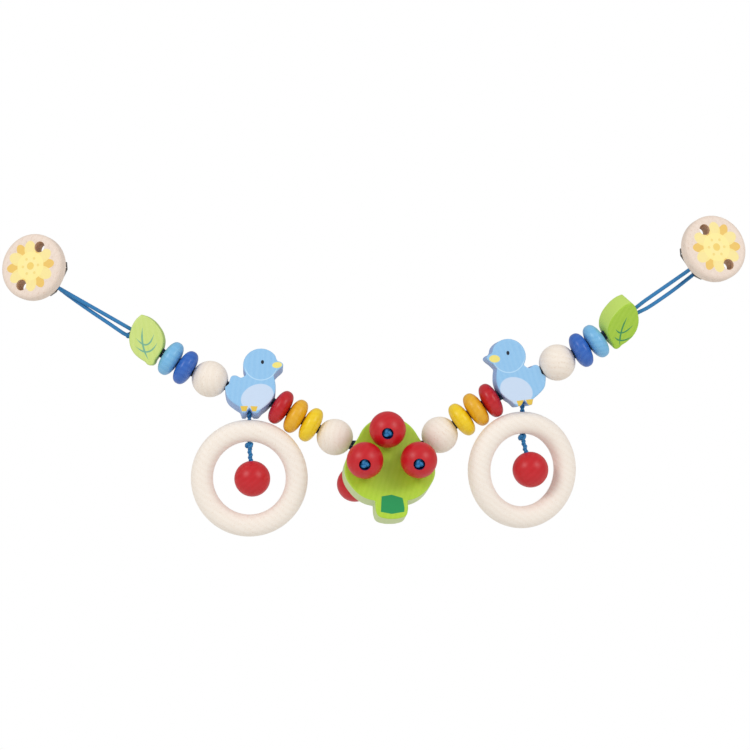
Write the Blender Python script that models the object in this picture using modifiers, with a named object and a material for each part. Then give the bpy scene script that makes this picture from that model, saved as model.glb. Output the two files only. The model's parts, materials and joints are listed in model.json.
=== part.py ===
"""A pram chain toy: wooden beads, birds, leaves and a tree on a doubled elastic, between two clips.

Metres and degrees, +Z up. The chain hangs in the XZ plane and is looked at along +Y. The origin
is midway between the two eye bars that the elastic is looped round, where the pram holds the toy.
"""

import math

import bmesh
import bpy
from mathutils import Matrix, Vector

# Clearances that every piece shares
SEAT_GAP = 0.0003
BEAD_GAP = 0.0003
CUT_OVERRUN = 0.002
WELD_DISTANCE = 0.00001

# Elastic cord, two strands of it through every bead
CORD_DIAMETER = 0.0021
STRAND_SPACING = 0.0026
BORE_DIAMETER = 0.0056
STRAND_OVERHANG = 0.0022
KNOT_DIAMETER = 0.0046
KNOT_LENGTH = 0.0034
KNOT_DROP = 0.0028

# Turned beads
BALL_DIAMETER = 0.0199
BALL_MOUTH_SINK = 0.0001
LENS_DIAMETER = 0.0196
LENS_THICKNESS = 0.0092
LENS_FULLNESS = 0.86

# Flat pieces, sawn from one board
BOARD_THICKNESS = 0.012
BOARD_EDGE_ROUND = 0.0009

# Bird, measured from the middle of its bore
BIRD_LENGTH = 0.033
BIRD_HEIGHT = 0.0375
BIRD_HEAD_RADIUS = 0.0091
BIRD_BREAST_REACH = 0.0127
BIRD_TAIL_REACH = 0.0141
FOOT_HOLE_DIAMETER = 0.0038
FOOT_HOLE_DEPTH = 0.0024

# Leaf, measured from the middle of its bore
LEAF_LENGTH = 0.028
LEAF_WIDTH = 0.0185
LEAF_INNER_REACH = 0.0100
LEAF_OUTER_REACH = 0.0096

# Tree, measured from the middle of its bore
TREE_WIDTH = 0.048
TREE_HEIGHT = 0.058
TREE_REACH = 0.0199
TREE_AXIS_OFFSET = -0.0005
TRUNK_WIDTH = 0.0178
TREE_LEAN_DEG = -2.5
TREE_TURN_DEG = 7
TREE_ROLL_DEG = 19

# Berries: a pair on one elastic through each hole in the tree, one in front and one behind
BERRY_DIAMETER = 0.0198
BERRY_HOLE_DIAMETER = 0.0032
BERRY_SOCKET_DIAMETER = 0.0062
BERRY_SOCKET_DEPTH = 0.0042
BERRY_KNOT_DIAMETER = 0.0046
BERRY_KNOT_LENGTH = 0.003
SIDE_HOLE_SPACING = 0.0292
SIDE_HOLE_DROP = 0.0064
TOP_HOLE_RISE = 0.0108
TOP_HOLE_SHIFT = -0.0016
FRONT_BERRY_SAG = 0.0069
FRONT_BERRY_NOD_DEG = 12
FRONT_BERRY_GAP = 0.0005
REAR_STRAIGHT_LENGTH = 0.0027
REAR_BERRY_SIDE = -0.0028
REAR_BERRY_BACK = 0.0093
REAR_BERRY_DROP = 0.0138

# Ring and the ball inside it, hung under each bird
RING_OUTER_DIAMETER = 0.064
RING_SECTION_WIDTH = 0.012
RING_INNER_DIAMETER = RING_OUTER_DIAMETER - 2 * RING_SECTION_WIDTH
RING_THICKNESS = 0.012
RING_HOLE_DIAMETER = 0.0032
LEFT_HANGER_DROP = 0.0049
RIGHT_HANGER_DROP = 0.0060
RIGHT_RING_TWIST_DEG = 21
DROP_KNOT_DIAMETER = 0.0044
DROP_KNOT_LENGTH = 0.0032
HANGER_END_RISE = 0.0012
DROP_CORD_GAP = 0.00055
DROP_CORD_LENGTH = 0.0064
DROP_BALL_DIAMETER = 0.0196
DROP_BALL_SOCKET_DEPTH = 0.004
LEFT_DROP_LEAN_DEG = 5
RIGHT_DROP_LEAN_DEG = 14

# Clip: a wooden disc riveted to a steel plate with an eye bar and a cam lever
DISC_DIAMETER = 0.0365
DISC_THICKNESS = 0.008
DISC_EDGE_ROUND = 0.0026
VENT_DIAMETER = 0.006
VENT_SPACING = 0.023
SHEET_THICKNESS = 0.001
PLATE_WIDTH = 0.015
PLATE_GRIP_REACH = 0.0175
PLATE_CORNER = 0.003
EYE_START = 0.008
EYE_REACH = 0.0148
EYE_STEP = 0.0031
EYE_WIDTH = 0.0205
EYE_CORNER = 0.0034
EYE_BAR_WIDTH = 0.002
EYE_SLOT_LENGTH = 0.0031
EYE_SLOT_WIDTH = 0.0155
EAR_LENGTH = 0.0055
EAR_MARGIN = 0.0024
PIN_DIAMETER = 0.002
PIN_CLEARANCE = 0.0002
PIN_HEAD_DIAMETER = 0.0036
PIN_HEAD_THICKNESS = 0.0007
PIN_REACH = 0.0112
LEVER_BARREL_RADIUS = 0.0021
LEVER_LOBE_REACH = 0.0034
LEVER_ARM_LENGTH = 0.0185
LEVER_ARM_THICKNESS = 0.0011
LEVER_ARM_DIP = 0.0036
LEVER_TAB_LIFT = 0.001
LEVER_TAB_LENGTH = 0.0025
JAW_OPENING = 0.0023
PAD_WIDTH = 0.0115
PAD_LENGTH = 0.0078
PAD_THICKNESS = 0.0011
RIVET_DIAMETER = 0.0024
RIVET_HEAD_DIAMETER = 0.0052
RIVET_HEAD_THICKNESS = 0.001
RIVET_DEPTH = 0.0045
CLIP_TILT_DEG = 20

# How the chain hangs: each piece's slope, from the tree outwards, in degrees above the level
LEFT_SLOPES_DEG = {
    "inner_ball": 26,
    "yellow_bead": 29,
    "orange_bead": 30,
    "red_bead": 32,
    "bird": 20,
    "outer_ball": 22,
    "dark_blue_bead": 31,
    "light_blue_bead": 32,
    "leaf": 34,
    "loop": 31.4,
    "clip": 25.6,
}
RIGHT_SLOPES_DEG = {
    "inner_ball": 34,
    "yellow_bead": 36,
    "orange_bead": 34,
    "red_bead": 29,
    "bird": 31,
    "outer_ball": 27,
    "dark_blue_bead": 28,
    "light_blue_bead": 34,
    "leaf": 38,
    "loop": 35,
    "clip": 34.6,
}
# How each flat piece sits on the string: leaned away from the tree, turned to show its left
# edge, and rolled about the string to show its lower edge, in degrees
LEFT_BIRD_POSE_DEG = (0, 0, 20)
RIGHT_BIRD_POSE_DEG = (-6, 10, 5)
LEFT_LEAF_POSE_DEG = (10.6, 0, 0)
RIGHT_LEAF_POSE_DEG = (10, 0, -34)

# The free loops between the outer leaves and the eye bars
LEFT_LOOP_LENGTH = 0.0480
RIGHT_LOOP_LENGTH = 0.0400
LEFT_BAR_SHIFT = -0.0044
RIGHT_BAR_SHIFT = 0.0038
LEFT_SPLIT_AT_BAR = 0.0003
RIGHT_SPLIT_AT_BAR = 0.0036
LEFT_SPLIT_AT_LEAF = 0.0048
RIGHT_SPLIT_AT_LEAF = 0.0036
LOOP_RADIUS = 0.0025

# How finely round shapes are cut
BEAD_SIDES = 20
BEAD_ARC_STEPS = 7
RING_SIDES = 44
RING_SECTION_SIDES = 12
DISC_SIDES = 32
SMALL_SIDES = 12
HEAD_ARC_STEPS = 8
OUTLINE_STEPS = 3

# Outlines, as shares of the length or width and of the height, chosen by hand. A point is
# (across, up, is it a corner), counted from the middle of the bore
BIRD_HEAD_CENTRE_SHARES = (0.158, 0.432)
BIRD_HEAD_ARC_DEG = (218, 22)
BIRD_BEAK_SHARES = [
    (0.47, 0.462, False),
    (0.525, 0.432, False),
    (0.53, 0.402, False),
    (0.475, 0.355, False),
    (0.40, 0.30, False),
]
BIRD_BODY_SHARES = [
    (0.368, 0.25, True),
    (0.392, 0.15, False),
    (0.398, 0.03, False),
    (0.352, -0.10, False),
    (0.27, -0.19, False),
    (0.17, -0.262, True),
    (0.115, -0.325, True),
    (0.035, -0.325, True),
]
BIRD_NOTCH_SHARES = (-0.033, -0.245)
BIRD_REAR_SHARES = [
    (-0.095, -0.325, True),
    (-0.155, -0.325, True),
    (-0.185, -0.24, True),
    (-0.30, -0.17, False),
    (-0.395, -0.085, False),
    (-0.425, 0.0, False),
    (-0.436, 0.072, True),
    (-0.372, 0.115, True),
    (-0.358, 0.18, False),
    (-0.325, 0.238, False),
    (-0.255, 0.248, False),
    (-0.17, 0.215, False),
]
LEAF_OUTLINE_SHARES = [
    (0.0, 0.575, True),
    (0.20, 0.49, False),
    (0.40, 0.31, False),
    (0.50, 0.09, False),
    (0.45, -0.11, False),
    (0.27, -0.27, False),
    (0.11, -0.35, False),
    (0.07, -0.40, False),
    (0.0, -0.425, False),
]
TREE_OUTLINE_SHARES = [
    (0.0, 0.259, False),
    (0.075, 0.248, False),
    (0.179, 0.197, False),
    (0.256, 0.141, False),
    (0.352, 0.038, False),
    (0.424, -0.06, False),
    (0.485, -0.172, False),
    (0.50, -0.259, False),
    (0.485, -0.336, False),
    (0.435, -0.417, False),
    (0.365, -0.493, False),
    (0.271, -0.548, False),
]
TRUNK_OUTLINE_SHARES = [
    (0.50, -0.567, True),
    (0.49, -0.669, False),
    (0.36, -0.729, False),
    (0.0, -0.741, False),
]
LOOP_STEP_SHARES = [0.0, 0.12, 0.26, 0.42, 0.60, 0.80]
KNOT_STEP_SHARES = [(0.0, 0.75), (0.3, 1.0), (0.7, 1.0), (1.0, 0.75)]


def material(name, colour, roughness, metallic=0.0):
    """A plain Principled material in the piece's own colour."""
    made = bpy.data.materials.new(name)
    made.use_nodes = True
    shader = made.node_tree.nodes["Principled BSDF"]
    shader.inputs["Base Color"].default_value = (*colour, 1.0)
    shader.inputs["Roughness"].default_value = roughness
    shader.inputs["Metallic"].default_value = metallic
    made.diffuse_color = (*colour, 1.0)
    return made


def collection(name, hidden=False):
    made = bpy.data.collections.new(name)
    bpy.context.scene.collection.children.link(made)
    made.hide_render = hidden
    return made


for old in list(bpy.data.objects):
    bpy.data.objects.remove(old)
TOY = collection("pram_chain_toy")
CUTTERS = collection("cutters", hidden=True)

BEECH = material("beech", (0.88, 0.79, 0.68), 0.55)
RED = material("red_lacquer", (0.62, 0.02, 0.03), 0.35)
ORANGE = material("orange_lacquer", (0.82, 0.46, 0.02), 0.35)
YELLOW = material("yellow_lacquer", (0.87, 0.66, 0.02), 0.35)
LIGHT_BLUE = material("light_blue_lacquer", (0.22, 0.52, 0.78), 0.35)
DARK_BLUE = material("dark_blue_lacquer", (0.03, 0.14, 0.50), 0.35)
BIRD_BLUE = material("bird_blue_lacquer", (0.31, 0.60, 0.84), 0.45)
LEAF_GREEN = material("leaf_green_lacquer", (0.50, 0.72, 0.12), 0.45)
TREE_GREEN = material("tree_green_lacquer", (0.38, 0.62, 0.03), 0.45)
ELASTIC = material("blue_elastic", (0.02, 0.16, 0.45), 0.8)
STEEL = material("nickel_plated_steel", (0.66, 0.65, 0.63), 0.25, 1.0)
NYLON = material("white_nylon", (0.85, 0.85, 0.82), 0.5)


def add(name, mesh, matrix, finish, target=TOY):
    """Puts a mesh in the scene under a name, at a place."""
    mesh.name = name
    mesh.materials.clear()
    mesh.materials.append(finish)
    made = bpy.data.objects.new(name, mesh)
    made.matrix_world = matrix
    target.objects.link(made)
    return made


def smooth(obj):
    obj.data.shade_smooth()
    obj.data.set_sharp_from_angle(angle=math.radians(35))


def as_mesh(obj):
    """A mesh of a curve as it is evaluated, with its loose caps welded; the curve is removed."""
    graph = bpy.context.evaluated_depsgraph_get()
    graph.update()
    mesh = bpy.data.meshes.new_from_object(obj.evaluated_get(graph))
    bpy.data.objects.remove(obj)
    work = bmesh.new()
    work.from_mesh(mesh)
    bmesh.ops.remove_doubles(work, verts=work.verts, dist=WELD_DISTANCE)
    bmesh.ops.recalc_face_normals(work, faces=work.faces)
    work.to_mesh(mesh)
    work.free()
    return mesh


def turned(name, profile, sides, matrix, finish, target=TOY):
    """A profile of (radius, height), its outer side first and downwards, spun about Z.

    A profile that starts off the axis is closed on itself, and one that starts on it ends on it.
    """
    mesh = bpy.data.meshes.new(name)
    last = len(profile) - 1
    edges = [(i, i + 1) for i in range(last)]
    if profile[0][0] > 0:
        edges.append((last, 0))
    mesh.from_pydata([(radius, 0.0, height) for radius, height in profile], edges, [])
    made = add(name, mesh, matrix, finish, target)
    spin = made.modifiers.new("turn", "SCREW")
    spin.axis = "Z"
    spin.steps = sides
    spin.render_steps = sides
    spin.use_merge_vertices = True
    spin.merge_threshold = WELD_DISTANCE
    spin.use_smooth_shade = True
    return made


def cut(obj, cutter, operation="DIFFERENCE"):
    """Cuts the object with a hidden cutter, or joins the cutter to it."""
    cutter.hide_render = True
    cutter.display_type = "WIRE"
    step = obj.modifiers.new("with_" + cutter.name, "BOOLEAN")
    step.operation = operation
    step.solver = "EXACT"
    step.object = cutter


def drill(obj, name, diameter, start, end, sides=SMALL_SIDES):
    """Cuts a round hole between two points of the world."""
    start, end = Vector(start), Vector(end)
    way = end - start
    radius = diameter / 2
    work = bmesh.new()
    bmesh.ops.create_cone(
        work, cap_ends=True, segments=sides, radius1=radius, radius2=radius, depth=way.length
    )
    mesh = bpy.data.meshes.new(name)
    work.to_mesh(mesh)
    work.free()
    cut(obj, add(name, mesh, along(way, (start + end) / 2), NYLON, CUTTERS))


def block(name, low, high, matrix, finish, target=TOY):
    """A box between two corners, in the frame of a matrix."""
    low, high = Vector(low), Vector(high)
    size, middle = high - low, (high + low) / 2
    work = bmesh.new()
    bmesh.ops.create_cube(work, size=1.0)
    for vert in work.verts:
        vert.co = Vector([vert.co[i] * size[i] + middle[i] for i in range(3)])
    mesh = bpy.data.meshes.new(name)
    work.to_mesh(mesh)
    work.free()
    return add(name, mesh, matrix, finish, target)


def sawn(name, outline, thickness, edge_round, matrix, finish, target=TOY):
    """A board cut to an outline of (across, up, corner) points, its edges eased by edge_round.

    The outline lies in the XZ plane of the matrix, and the board reaches half its thickness to
    each side of that plane.
    """
    curve = bpy.data.curves.new(name, "CURVE")
    curve.dimensions = "2D"
    curve.fill_mode = "BOTH"
    curve.resolution_u = OUTLINE_STEPS
    curve.extrude = thickness / 2 - edge_round
    curve.bevel_depth = edge_round
    curve.bevel_resolution = 0
    curve.offset = -edge_round
    spline = curve.splines.new("BEZIER")
    spline.bezier_points.add(len(outline) - 1)
    spline.use_cyclic_u = True
    for point, (across, up, corner) in zip(spline.bezier_points, outline):
        point.co = (across, up, 0.0)
        kind = "VECTOR" if corner else "AUTO"
        point.handle_left_type = kind
        point.handle_right_type = kind
    drawn = bpy.data.objects.new(name + "_outline", curve)
    TOY.objects.link(drawn)
    mesh = as_mesh(drawn)
    made = add(name, mesh, matrix @ Matrix.Rotation(math.radians(90), 4, "X"), finish, target)
    smooth(made)
    return made


def tube(name, points, diameter, finish, radii=None):
    """A cord along points of the world, thicker where a radius share says so."""
    curve = bpy.data.curves.new(name, "CURVE")
    curve.dimensions = "3D"
    curve.bevel_depth = diameter / 2
    curve.bevel_resolution = 2
    curve.use_fill_caps = True
    spline = curve.splines.new("POLY")
    spline.points.add(len(points) - 1)
    for i, place in enumerate(points):
        spline.points[i].co = (*place, 1.0)
        spline.points[i].radius = radii[i] if radii else 1.0
    drawn = bpy.data.objects.new(name + "_route", curve)
    TOY.objects.link(drawn)
    mesh = as_mesh(drawn)
    made = add(name, mesh, Matrix.Identity(4), finish)
    smooth(made)
    return made


def mirrored(outline):
    """The outline seen from behind."""
    return [(-across, up, corner) for across, up, corner in reversed(outline)]


def along(way, middle):
    """A frame at a place whose Z axis runs along a direction."""
    return Matrix.Translation(middle) @ way.to_track_quat("Z", "Y").to_matrix().to_4x4()


def string_direction(side, slope):
    """The way the string runs outwards from the tree at a slope, on the left (-1) or right (1)."""
    angle = math.radians(slope)
    return Vector((side * math.cos(angle), 0.0, math.sin(angle)))


class Place:
    """Where one piece sits on the string: its bore's two mouths, its middle and its direction."""

    def __init__(self, inner_mouth, direction, inner_reach, outer_reach):
        self.direction = direction
        self.inner = inner_mouth
        self.middle = inner_mouth + direction * inner_reach
        self.outer = self.middle + direction * outer_reach


BALL_REACH = BALL_DIAMETER / 2 - BALL_MOUTH_SINK
LENS_REACH = LENS_THICKNESS / 2
REACHES = {
    "inner_ball": (BALL_REACH, BALL_REACH),
    "yellow_bead": (LENS_REACH, LENS_REACH),
    "orange_bead": (LENS_REACH, LENS_REACH),
    "red_bead": (LENS_REACH, LENS_REACH),
    "bird": (BIRD_BREAST_REACH, BIRD_TAIL_REACH),
    "outer_ball": (BALL_REACH, BALL_REACH),
    "dark_blue_bead": (LENS_REACH, LENS_REACH),
    "light_blue_bead": (LENS_REACH, LENS_REACH),
    "leaf": (LEAF_INNER_REACH, LEAF_OUTER_REACH),
}
SIDE_NAMES = {-1: "left", 1: "right"}
SLOPES = {-1: LEFT_SLOPES_DEG, 1: RIGHT_SLOPES_DEG}
LOOP_LENGTHS = {-1: LEFT_LOOP_LENGTH, 1: RIGHT_LOOP_LENGTH}
BAR_SHIFTS = {-1: LEFT_BAR_SHIFT, 1: RIGHT_BAR_SHIFT}


def hang_arm(side, start):
    """The places of an arm's pieces, each starting a gap beyond the one before it."""
    places, mouth = {}, start
    for name, (inner_reach, outer_reach) in REACHES.items():
        direction = string_direction(side, SLOPES[side][name])
        places[name] = Place(mouth + direction * BEAD_GAP, direction, inner_reach, outer_reach)
        mouth = places[name].outer
    return places


def pull_frame(side):
    """Axes of a clip before it tilts: X towards the chain, Y backwards, Z along the eye bar."""
    inwards = -string_direction(side, SLOPES[side]["clip"])
    backwards = Vector((0.0, 1.0, 0.0))
    return Matrix((inwards, backwards, inwards.cross(backwards))).transposed()


def layout():
    """Hangs both arms from the tree, then moves all of it to put the origin between the eye bars."""
    tree = Vector((0.0, 0.0, 0.0))
    arms, crossings, bars = {}, {}, {}
    for side in SIDE_NAMES:
        arms[side] = hang_arm(side, tree + Vector((side * TREE_REACH, 0.0, 0.0)))
        way = string_direction(side, SLOPES[side]["loop"])
        crossings[side] = arms[side]["leaf"].outer + way * LOOP_LENGTHS[side]
        bars[side] = crossings[side] - pull_frame(side).col[2] * BAR_SHIFTS[side]
    shift = -(bars[-1] + bars[1]) / 2
    for places in arms.values():
        for place in places.values():
            place.inner = place.inner + shift
            place.middle = place.middle + shift
            place.outer = place.outer + shift
    moved = [{side: at + shift for side, at in found.items()} for found in (crossings, bars)]
    return tree + shift, arms, moved[0], moved[1]


TREE_MIDDLE, ARMS, CROSSINGS, BARS = layout()
TREE_PLACE = Place(
    TREE_MIDDLE - Vector((TREE_REACH, 0.0, 0.0)), Vector((1.0, 0.0, 0.0)), TREE_REACH, TREE_REACH
)


def flat_pose(place, side, pose):
    """A flat piece's frame: leaned in its plane, turned about the upright, rolled about the string."""
    lean, turn, roll = (math.radians(angle) for angle in pose)
    rightward = place.direction * side
    return (
        Matrix.Translation(place.middle)
        @ Matrix.Rotation(-roll, 4, rightward)
        @ Matrix.Rotation(turn, 4, "Z")
        @ Matrix.Rotation(side * lean, 4, "Y")
    )


POSES = {
    (-1, "bird"): flat_pose(ARMS[-1]["bird"], -1, LEFT_BIRD_POSE_DEG),
    (1, "bird"): flat_pose(ARMS[1]["bird"], 1, RIGHT_BIRD_POSE_DEG),
    (-1, "leaf"): flat_pose(ARMS[-1]["leaf"], -1, LEFT_LEAF_POSE_DEG),
    (1, "leaf"): flat_pose(ARMS[1]["leaf"], 1, RIGHT_LEAF_POSE_DEG),
}
TREE_POSE = flat_pose(TREE_PLACE, 1, (TREE_LEAN_DEG, TREE_TURN_DEG, TREE_ROLL_DEG))


def bead_profile(diameter, thickness, bore, fullness):
    """A rounded bead from one mouth of its bore to the other: an ellipse at a fullness of 1.

    A smaller fullness gives flatter faces and a rounder rim.
    """
    start = math.asin((bore / diameter) ** (1 / fullness))
    turn = (math.pi - 2 * start) / BEAD_ARC_STEPS
    profile = []
    for i in range(BEAD_ARC_STEPS + 1):
        angle = start + i * turn
        across, up = math.sin(angle), math.cos(angle)
        height = math.copysign(abs(up) ** fullness, up)
        profile.append((across**fullness * diameter / 2, height * thickness / 2))
    return profile


def make_turned_beads():
    shapes = {
        "inner_ball": (BEECH, BALL_DIAMETER, BALL_DIAMETER),
        "yellow_bead": (YELLOW, LENS_DIAMETER, LENS_THICKNESS),
        "orange_bead": (ORANGE, LENS_DIAMETER, LENS_THICKNESS),
        "red_bead": (RED, LENS_DIAMETER, LENS_THICKNESS),
        "outer_ball": (BEECH, BALL_DIAMETER, BALL_DIAMETER),
        "dark_blue_bead": (DARK_BLUE, LENS_DIAMETER, LENS_THICKNESS),
        "light_blue_bead": (LIGHT_BLUE, LENS_DIAMETER, LENS_THICKNESS),
    }
    for side, label in SIDE_NAMES.items():
        for name, (finish, diameter, thickness) in shapes.items():
            place = ARMS[side][name]
            fullness = LENS_FULLNESS if thickness < diameter else 1.0
            profile = bead_profile(diameter, thickness, BORE_DIAMETER, fullness)
            matrix = along(place.direction, place.middle)
            turned(f"{label}_{name}", profile, BEAD_SIDES, matrix, finish)


def to_points(shares, width, height):
    return [(across * width, up * height, corner) for across, up, corner in shares]


def bird_outline():
    """The left bird's outline, facing right: its head's arc, then beak, breast, feet and tail."""
    centre_across = BIRD_HEAD_CENTRE_SHARES[0] * BIRD_LENGTH
    centre_up = BIRD_HEAD_CENTRE_SHARES[1] * BIRD_HEIGHT
    first, last = BIRD_HEAD_ARC_DEG
    head = []
    for i in range(HEAD_ARC_STEPS + 1):
        angle = math.radians(first + (last - first) * i / HEAD_ARC_STEPS)
        across = centre_across + BIRD_HEAD_RADIUS * math.cos(angle)
        head.append((across, centre_up + BIRD_HEAD_RADIUS * math.sin(angle), i == 0))
    notch = [(*BIRD_NOTCH_SHARES, True)]
    rest = BIRD_BEAK_SHARES + BIRD_BODY_SHARES + notch + BIRD_REAR_SHARES
    return head + to_points(rest, BIRD_LENGTH, BIRD_HEIGHT)


def leaf_outline():
    half = to_points(LEAF_OUTLINE_SHARES, LEAF_WIDTH, LEAF_LENGTH)
    return half + mirrored(half[1:-1])


def tree_outline():
    crown = to_points(TREE_OUTLINE_SHARES, TREE_WIDTH, TREE_HEIGHT)
    trunk = to_points(TRUNK_OUTLINE_SHARES, TRUNK_WIDTH, TREE_HEIGHT)
    half = crown + trunk
    return [(across + TREE_AXIS_OFFSET, up, corner) for across, up, corner in half + mirrored(half[1:-1])]


def foot_hole_top(side):
    """The top of the notch between the bird's feet, in the middle of the board."""
    across = -side * BIRD_NOTCH_SHARES[0] * BIRD_LENGTH
    return POSES[side, "bird"] @ Vector((across, 0.0, BIRD_NOTCH_SHARES[1] * BIRD_HEIGHT))


def make_birds_and_leaves():
    shapes = {"bird": (bird_outline(), BIRD_BLUE), "leaf": (leaf_outline(), LEAF_GREEN)}
    for side, label in SIDE_NAMES.items():
        for kind, (outline, finish) in shapes.items():
            place = ARMS[side][kind]
            shape = outline if side < 0 else mirrored(outline)
            name = f"{label}_{kind}"
            piece = sawn(name, shape, BOARD_THICKNESS, BOARD_EDGE_ROUND, POSES[side, kind], finish)
            run = place.direction * LEAF_OUTER_REACH / 2
            drill(piece, name + "_bore", BORE_DIAMETER, place.inner - run, place.outer + run, BEAD_SIDES)
            if kind == "bird":
                top = foot_hole_top(side)
                deep = top + Vector((0.0, 0.0, FOOT_HOLE_DEPTH))
                low = top - Vector((0.0, 0.0, CUT_OVERRUN))
                drill(piece, name + "_foot_hole", FOOT_HOLE_DIAMETER, low, deep)


HOLES = {
    "top": (TREE_AXIS_OFFSET + TOP_HOLE_SHIFT, TOP_HOLE_RISE),
    "left": (TREE_AXIS_OFFSET - SIDE_HOLE_SPACING / 2, -SIDE_HOLE_DROP),
    "right": (TREE_AXIS_OFFSET + SIDE_HOLE_SPACING / 2, -SIDE_HOLE_DROP),
}


def make_tree():
    tree = sawn("tree", tree_outline(), BOARD_THICKNESS, BOARD_EDGE_ROUND, TREE_POSE, TREE_GREEN)
    run = TREE_PLACE.direction * TREE_REACH / 2
    drill(tree, "tree_bore", BORE_DIAMETER, TREE_PLACE.inner - run, TREE_PLACE.outer + run, BEAD_SIDES)
    for name, (across, up) in HOLES.items():
        half = BOARD_THICKNESS / 2 + CUT_OVERRUN
        front = TREE_POSE @ Vector((across, -half, up))
        back = TREE_POSE @ Vector((across, half, up))
        drill(tree, f"tree_{name}_hole", BERRY_HOLE_DIAMETER, front, back)


def socketed_profile(diameter, hole, socket, depth):
    """A ball with a cord's hole right through it and a wider socket at the top for the knot."""
    radius = diameter / 2
    start, end = math.asin(socket / diameter), math.pi - math.asin(hole / diameter)
    steps = BEAD_ARC_STEPS + 1
    angles = [start + (end - start) * i / steps for i in range(steps + 1)]
    outer = [(math.sin(a) * radius, math.cos(a) * radius) for a in angles]
    floor = outer[0][1] - depth
    return outer + [(hole / 2, floor), (socket / 2, floor)]


def knot_steps(start, way, length):
    """Points along a knot, and how thick it is at each as a share of its widest."""
    return [(start + way * (length * share), thick) for share, thick in KNOT_STEP_SHARES]


def make_berries():
    """Each pair hangs on one elastic: from the front ball's knot, through the board, to the rear's."""
    radius = BERRY_DIAMETER / 2
    profile = socketed_profile(
        BERRY_DIAMETER, BERRY_HOLE_DIAMETER, BERRY_SOCKET_DIAMETER, BERRY_SOCKET_DEPTH
    )
    floor = profile[-1][1]
    normal = TREE_POSE.to_3x3() @ Vector((0.0, 1.0, 0.0))
    upward = TREE_POSE.to_3x3() @ Vector((0.0, 0.0, 1.0))
    nod = math.radians(FRONT_BERRY_NOD_DEG)
    front_way = Vector((0.0, -math.cos(nod), -math.sin(nod)))
    back_half = BOARD_THICKNESS / 2
    for name, (across, up) in HOLES.items():
        hole = TREE_POSE @ Vector((across, 0.0, up))
        front_mouth = hole - normal * back_half
        rear_mouth = hole + normal * back_half
        front = front_mouth - normal * (radius + FRONT_BERRY_GAP) - upward * FRONT_BERRY_SAG
        turned(f"{name}_front_berry", profile, BEAD_SIDES, along(front_way, front), RED)
        rear = rear_mouth + Vector((REAR_BERRY_SIDE, REAR_BERRY_BACK, -REAR_BERRY_DROP))
        straight_end = rear_mouth + normal * REAR_STRAIGHT_LENGTH
        rear_way = (rear - straight_end).normalized()
        turned(f"{name}_rear_berry", profile, BEAD_SIDES, along(rear_way, rear), RED)
        widest = BERRY_KNOT_DIAMETER / CORD_DIAMETER
        steps = []
        front_knot = knot_steps(front + front_way * (floor + SEAT_GAP), front_way, BERRY_KNOT_LENGTH)
        steps += [(place, thick * widest) for place, thick in reversed(front_knot)]
        steps.append((front + front_way * floor, 1.0))
        steps.append((front - front_way * radius, 1.0))
        steps.append((front_mouth, 1.0))
        steps.append((rear_mouth, 1.0))
        steps.append((straight_end, 1.0))
        steps.append((rear - rear_way * radius, 1.0))
        steps.append((rear + rear_way * floor, 1.0))
        rear_knot = knot_steps(rear + rear_way * (floor + SEAT_GAP), rear_way, BERRY_KNOT_LENGTH)
        steps += [(place, thick * widest) for place, thick in rear_knot]
        points, radii = zip(*steps)
        tube(f"{name}_berry_cord", points, CORD_DIAMETER, ELASTIC, radii)


def strand_points(offset, overhangs):
    """One strand through every bore from the left leaf to the right, bent where two bores meet."""
    runs = [(ARMS[-1][name].outer, ARMS[-1][name].inner) for name in reversed(REACHES)]
    runs.append((TREE_PLACE.inner, TREE_PLACE.outer))
    runs += [(ARMS[1][name].inner, ARMS[1][name].outer) for name in REACHES]
    ways = [(end - start).normalized() for start, end in runs]
    joints = [runs[0][0] - ways[0] * overhangs[0]]
    joints += [(runs[i][1] + runs[i + 1][0]) / 2 for i in range(len(runs) - 1)]
    joints.append(runs[-1][1] + ways[-1] * overhangs[1])
    points = []
    for i, joint in enumerate(joints):
        flow = (ways[max(i - 1, 0)] + ways[min(i, len(ways) - 1)]).normalized()
        points.append(joint + Vector((-flow.z, 0.0, flow.x)) * offset)
    return points


def smooth_route(points, steps):
    """Points along a smooth curve through the given ones."""
    result = []
    padded = [points[0]] + list(points) + [points[-1]]
    for i in range(1, len(padded) - 2):
        before, start, end, after = padded[i - 1 : i + 3]
        for k in range(steps):
            t = k / steps
            bend = 2 * before - 5 * start + 4 * end - after
            twist = 3 * start - before - 3 * end + after
            result.append((2 * start + (end - before) * t + bend * t**2 + twist * t**3) / 2)
    result.append(points[-1])
    return result


def loop_route(side, split_at_bar, split_at_leaf, ends):
    """The free loop, from its upper end round the eye bar through the slot and back to its lower end.

    Each end is (how far short of the leaf it stops, how far off the string's line).
    """
    mouth = ARMS[side]["leaf"].outer
    bar = CROSSINGS[side]
    inwards = (mouth - bar).normalized()
    upward = Vector((-inwards.z, 0.0, inwards.x))
    upward = upward if upward.z > 0 else -upward
    depth = Vector((0.0, 1.0, 0.0))
    outwards = ARMS[side]["leaf"].direction
    across = Vector((-outwards.z, 0.0, outwards.x)) * side
    free = (mouth - bar).length
    strands = []
    for way, (short, off) in zip((1, -1), ends):
        line = []
        for share in LOOP_STEP_SHARES:
            split = split_at_bar + (split_at_leaf - split_at_bar) * share
            swing = LOOP_RADIUS * (1 - share) ** 2
            place = bar + inwards * ((free - short) * share) + upward * (way * split / 2)
            line.append(place - depth * (way * swing))
        line.append(mouth + outwards * (short + CORD_DIAMETER) + across * off)
        line.append(mouth + outwards * short + across * off)
        strands.append(line)
    bend = []
    for angle in (45, 90, 135):
        turn = math.radians(angle)
        slide = upward * (split_at_bar / 2 * math.cos(turn))
        swing = inwards * math.sin(turn) + depth * math.cos(turn)
        bend.append(bar - swing * LOOP_RADIUS + slide)
    return smooth_route(list(reversed(strands[0])) + bend + strands[1], 2)


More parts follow.
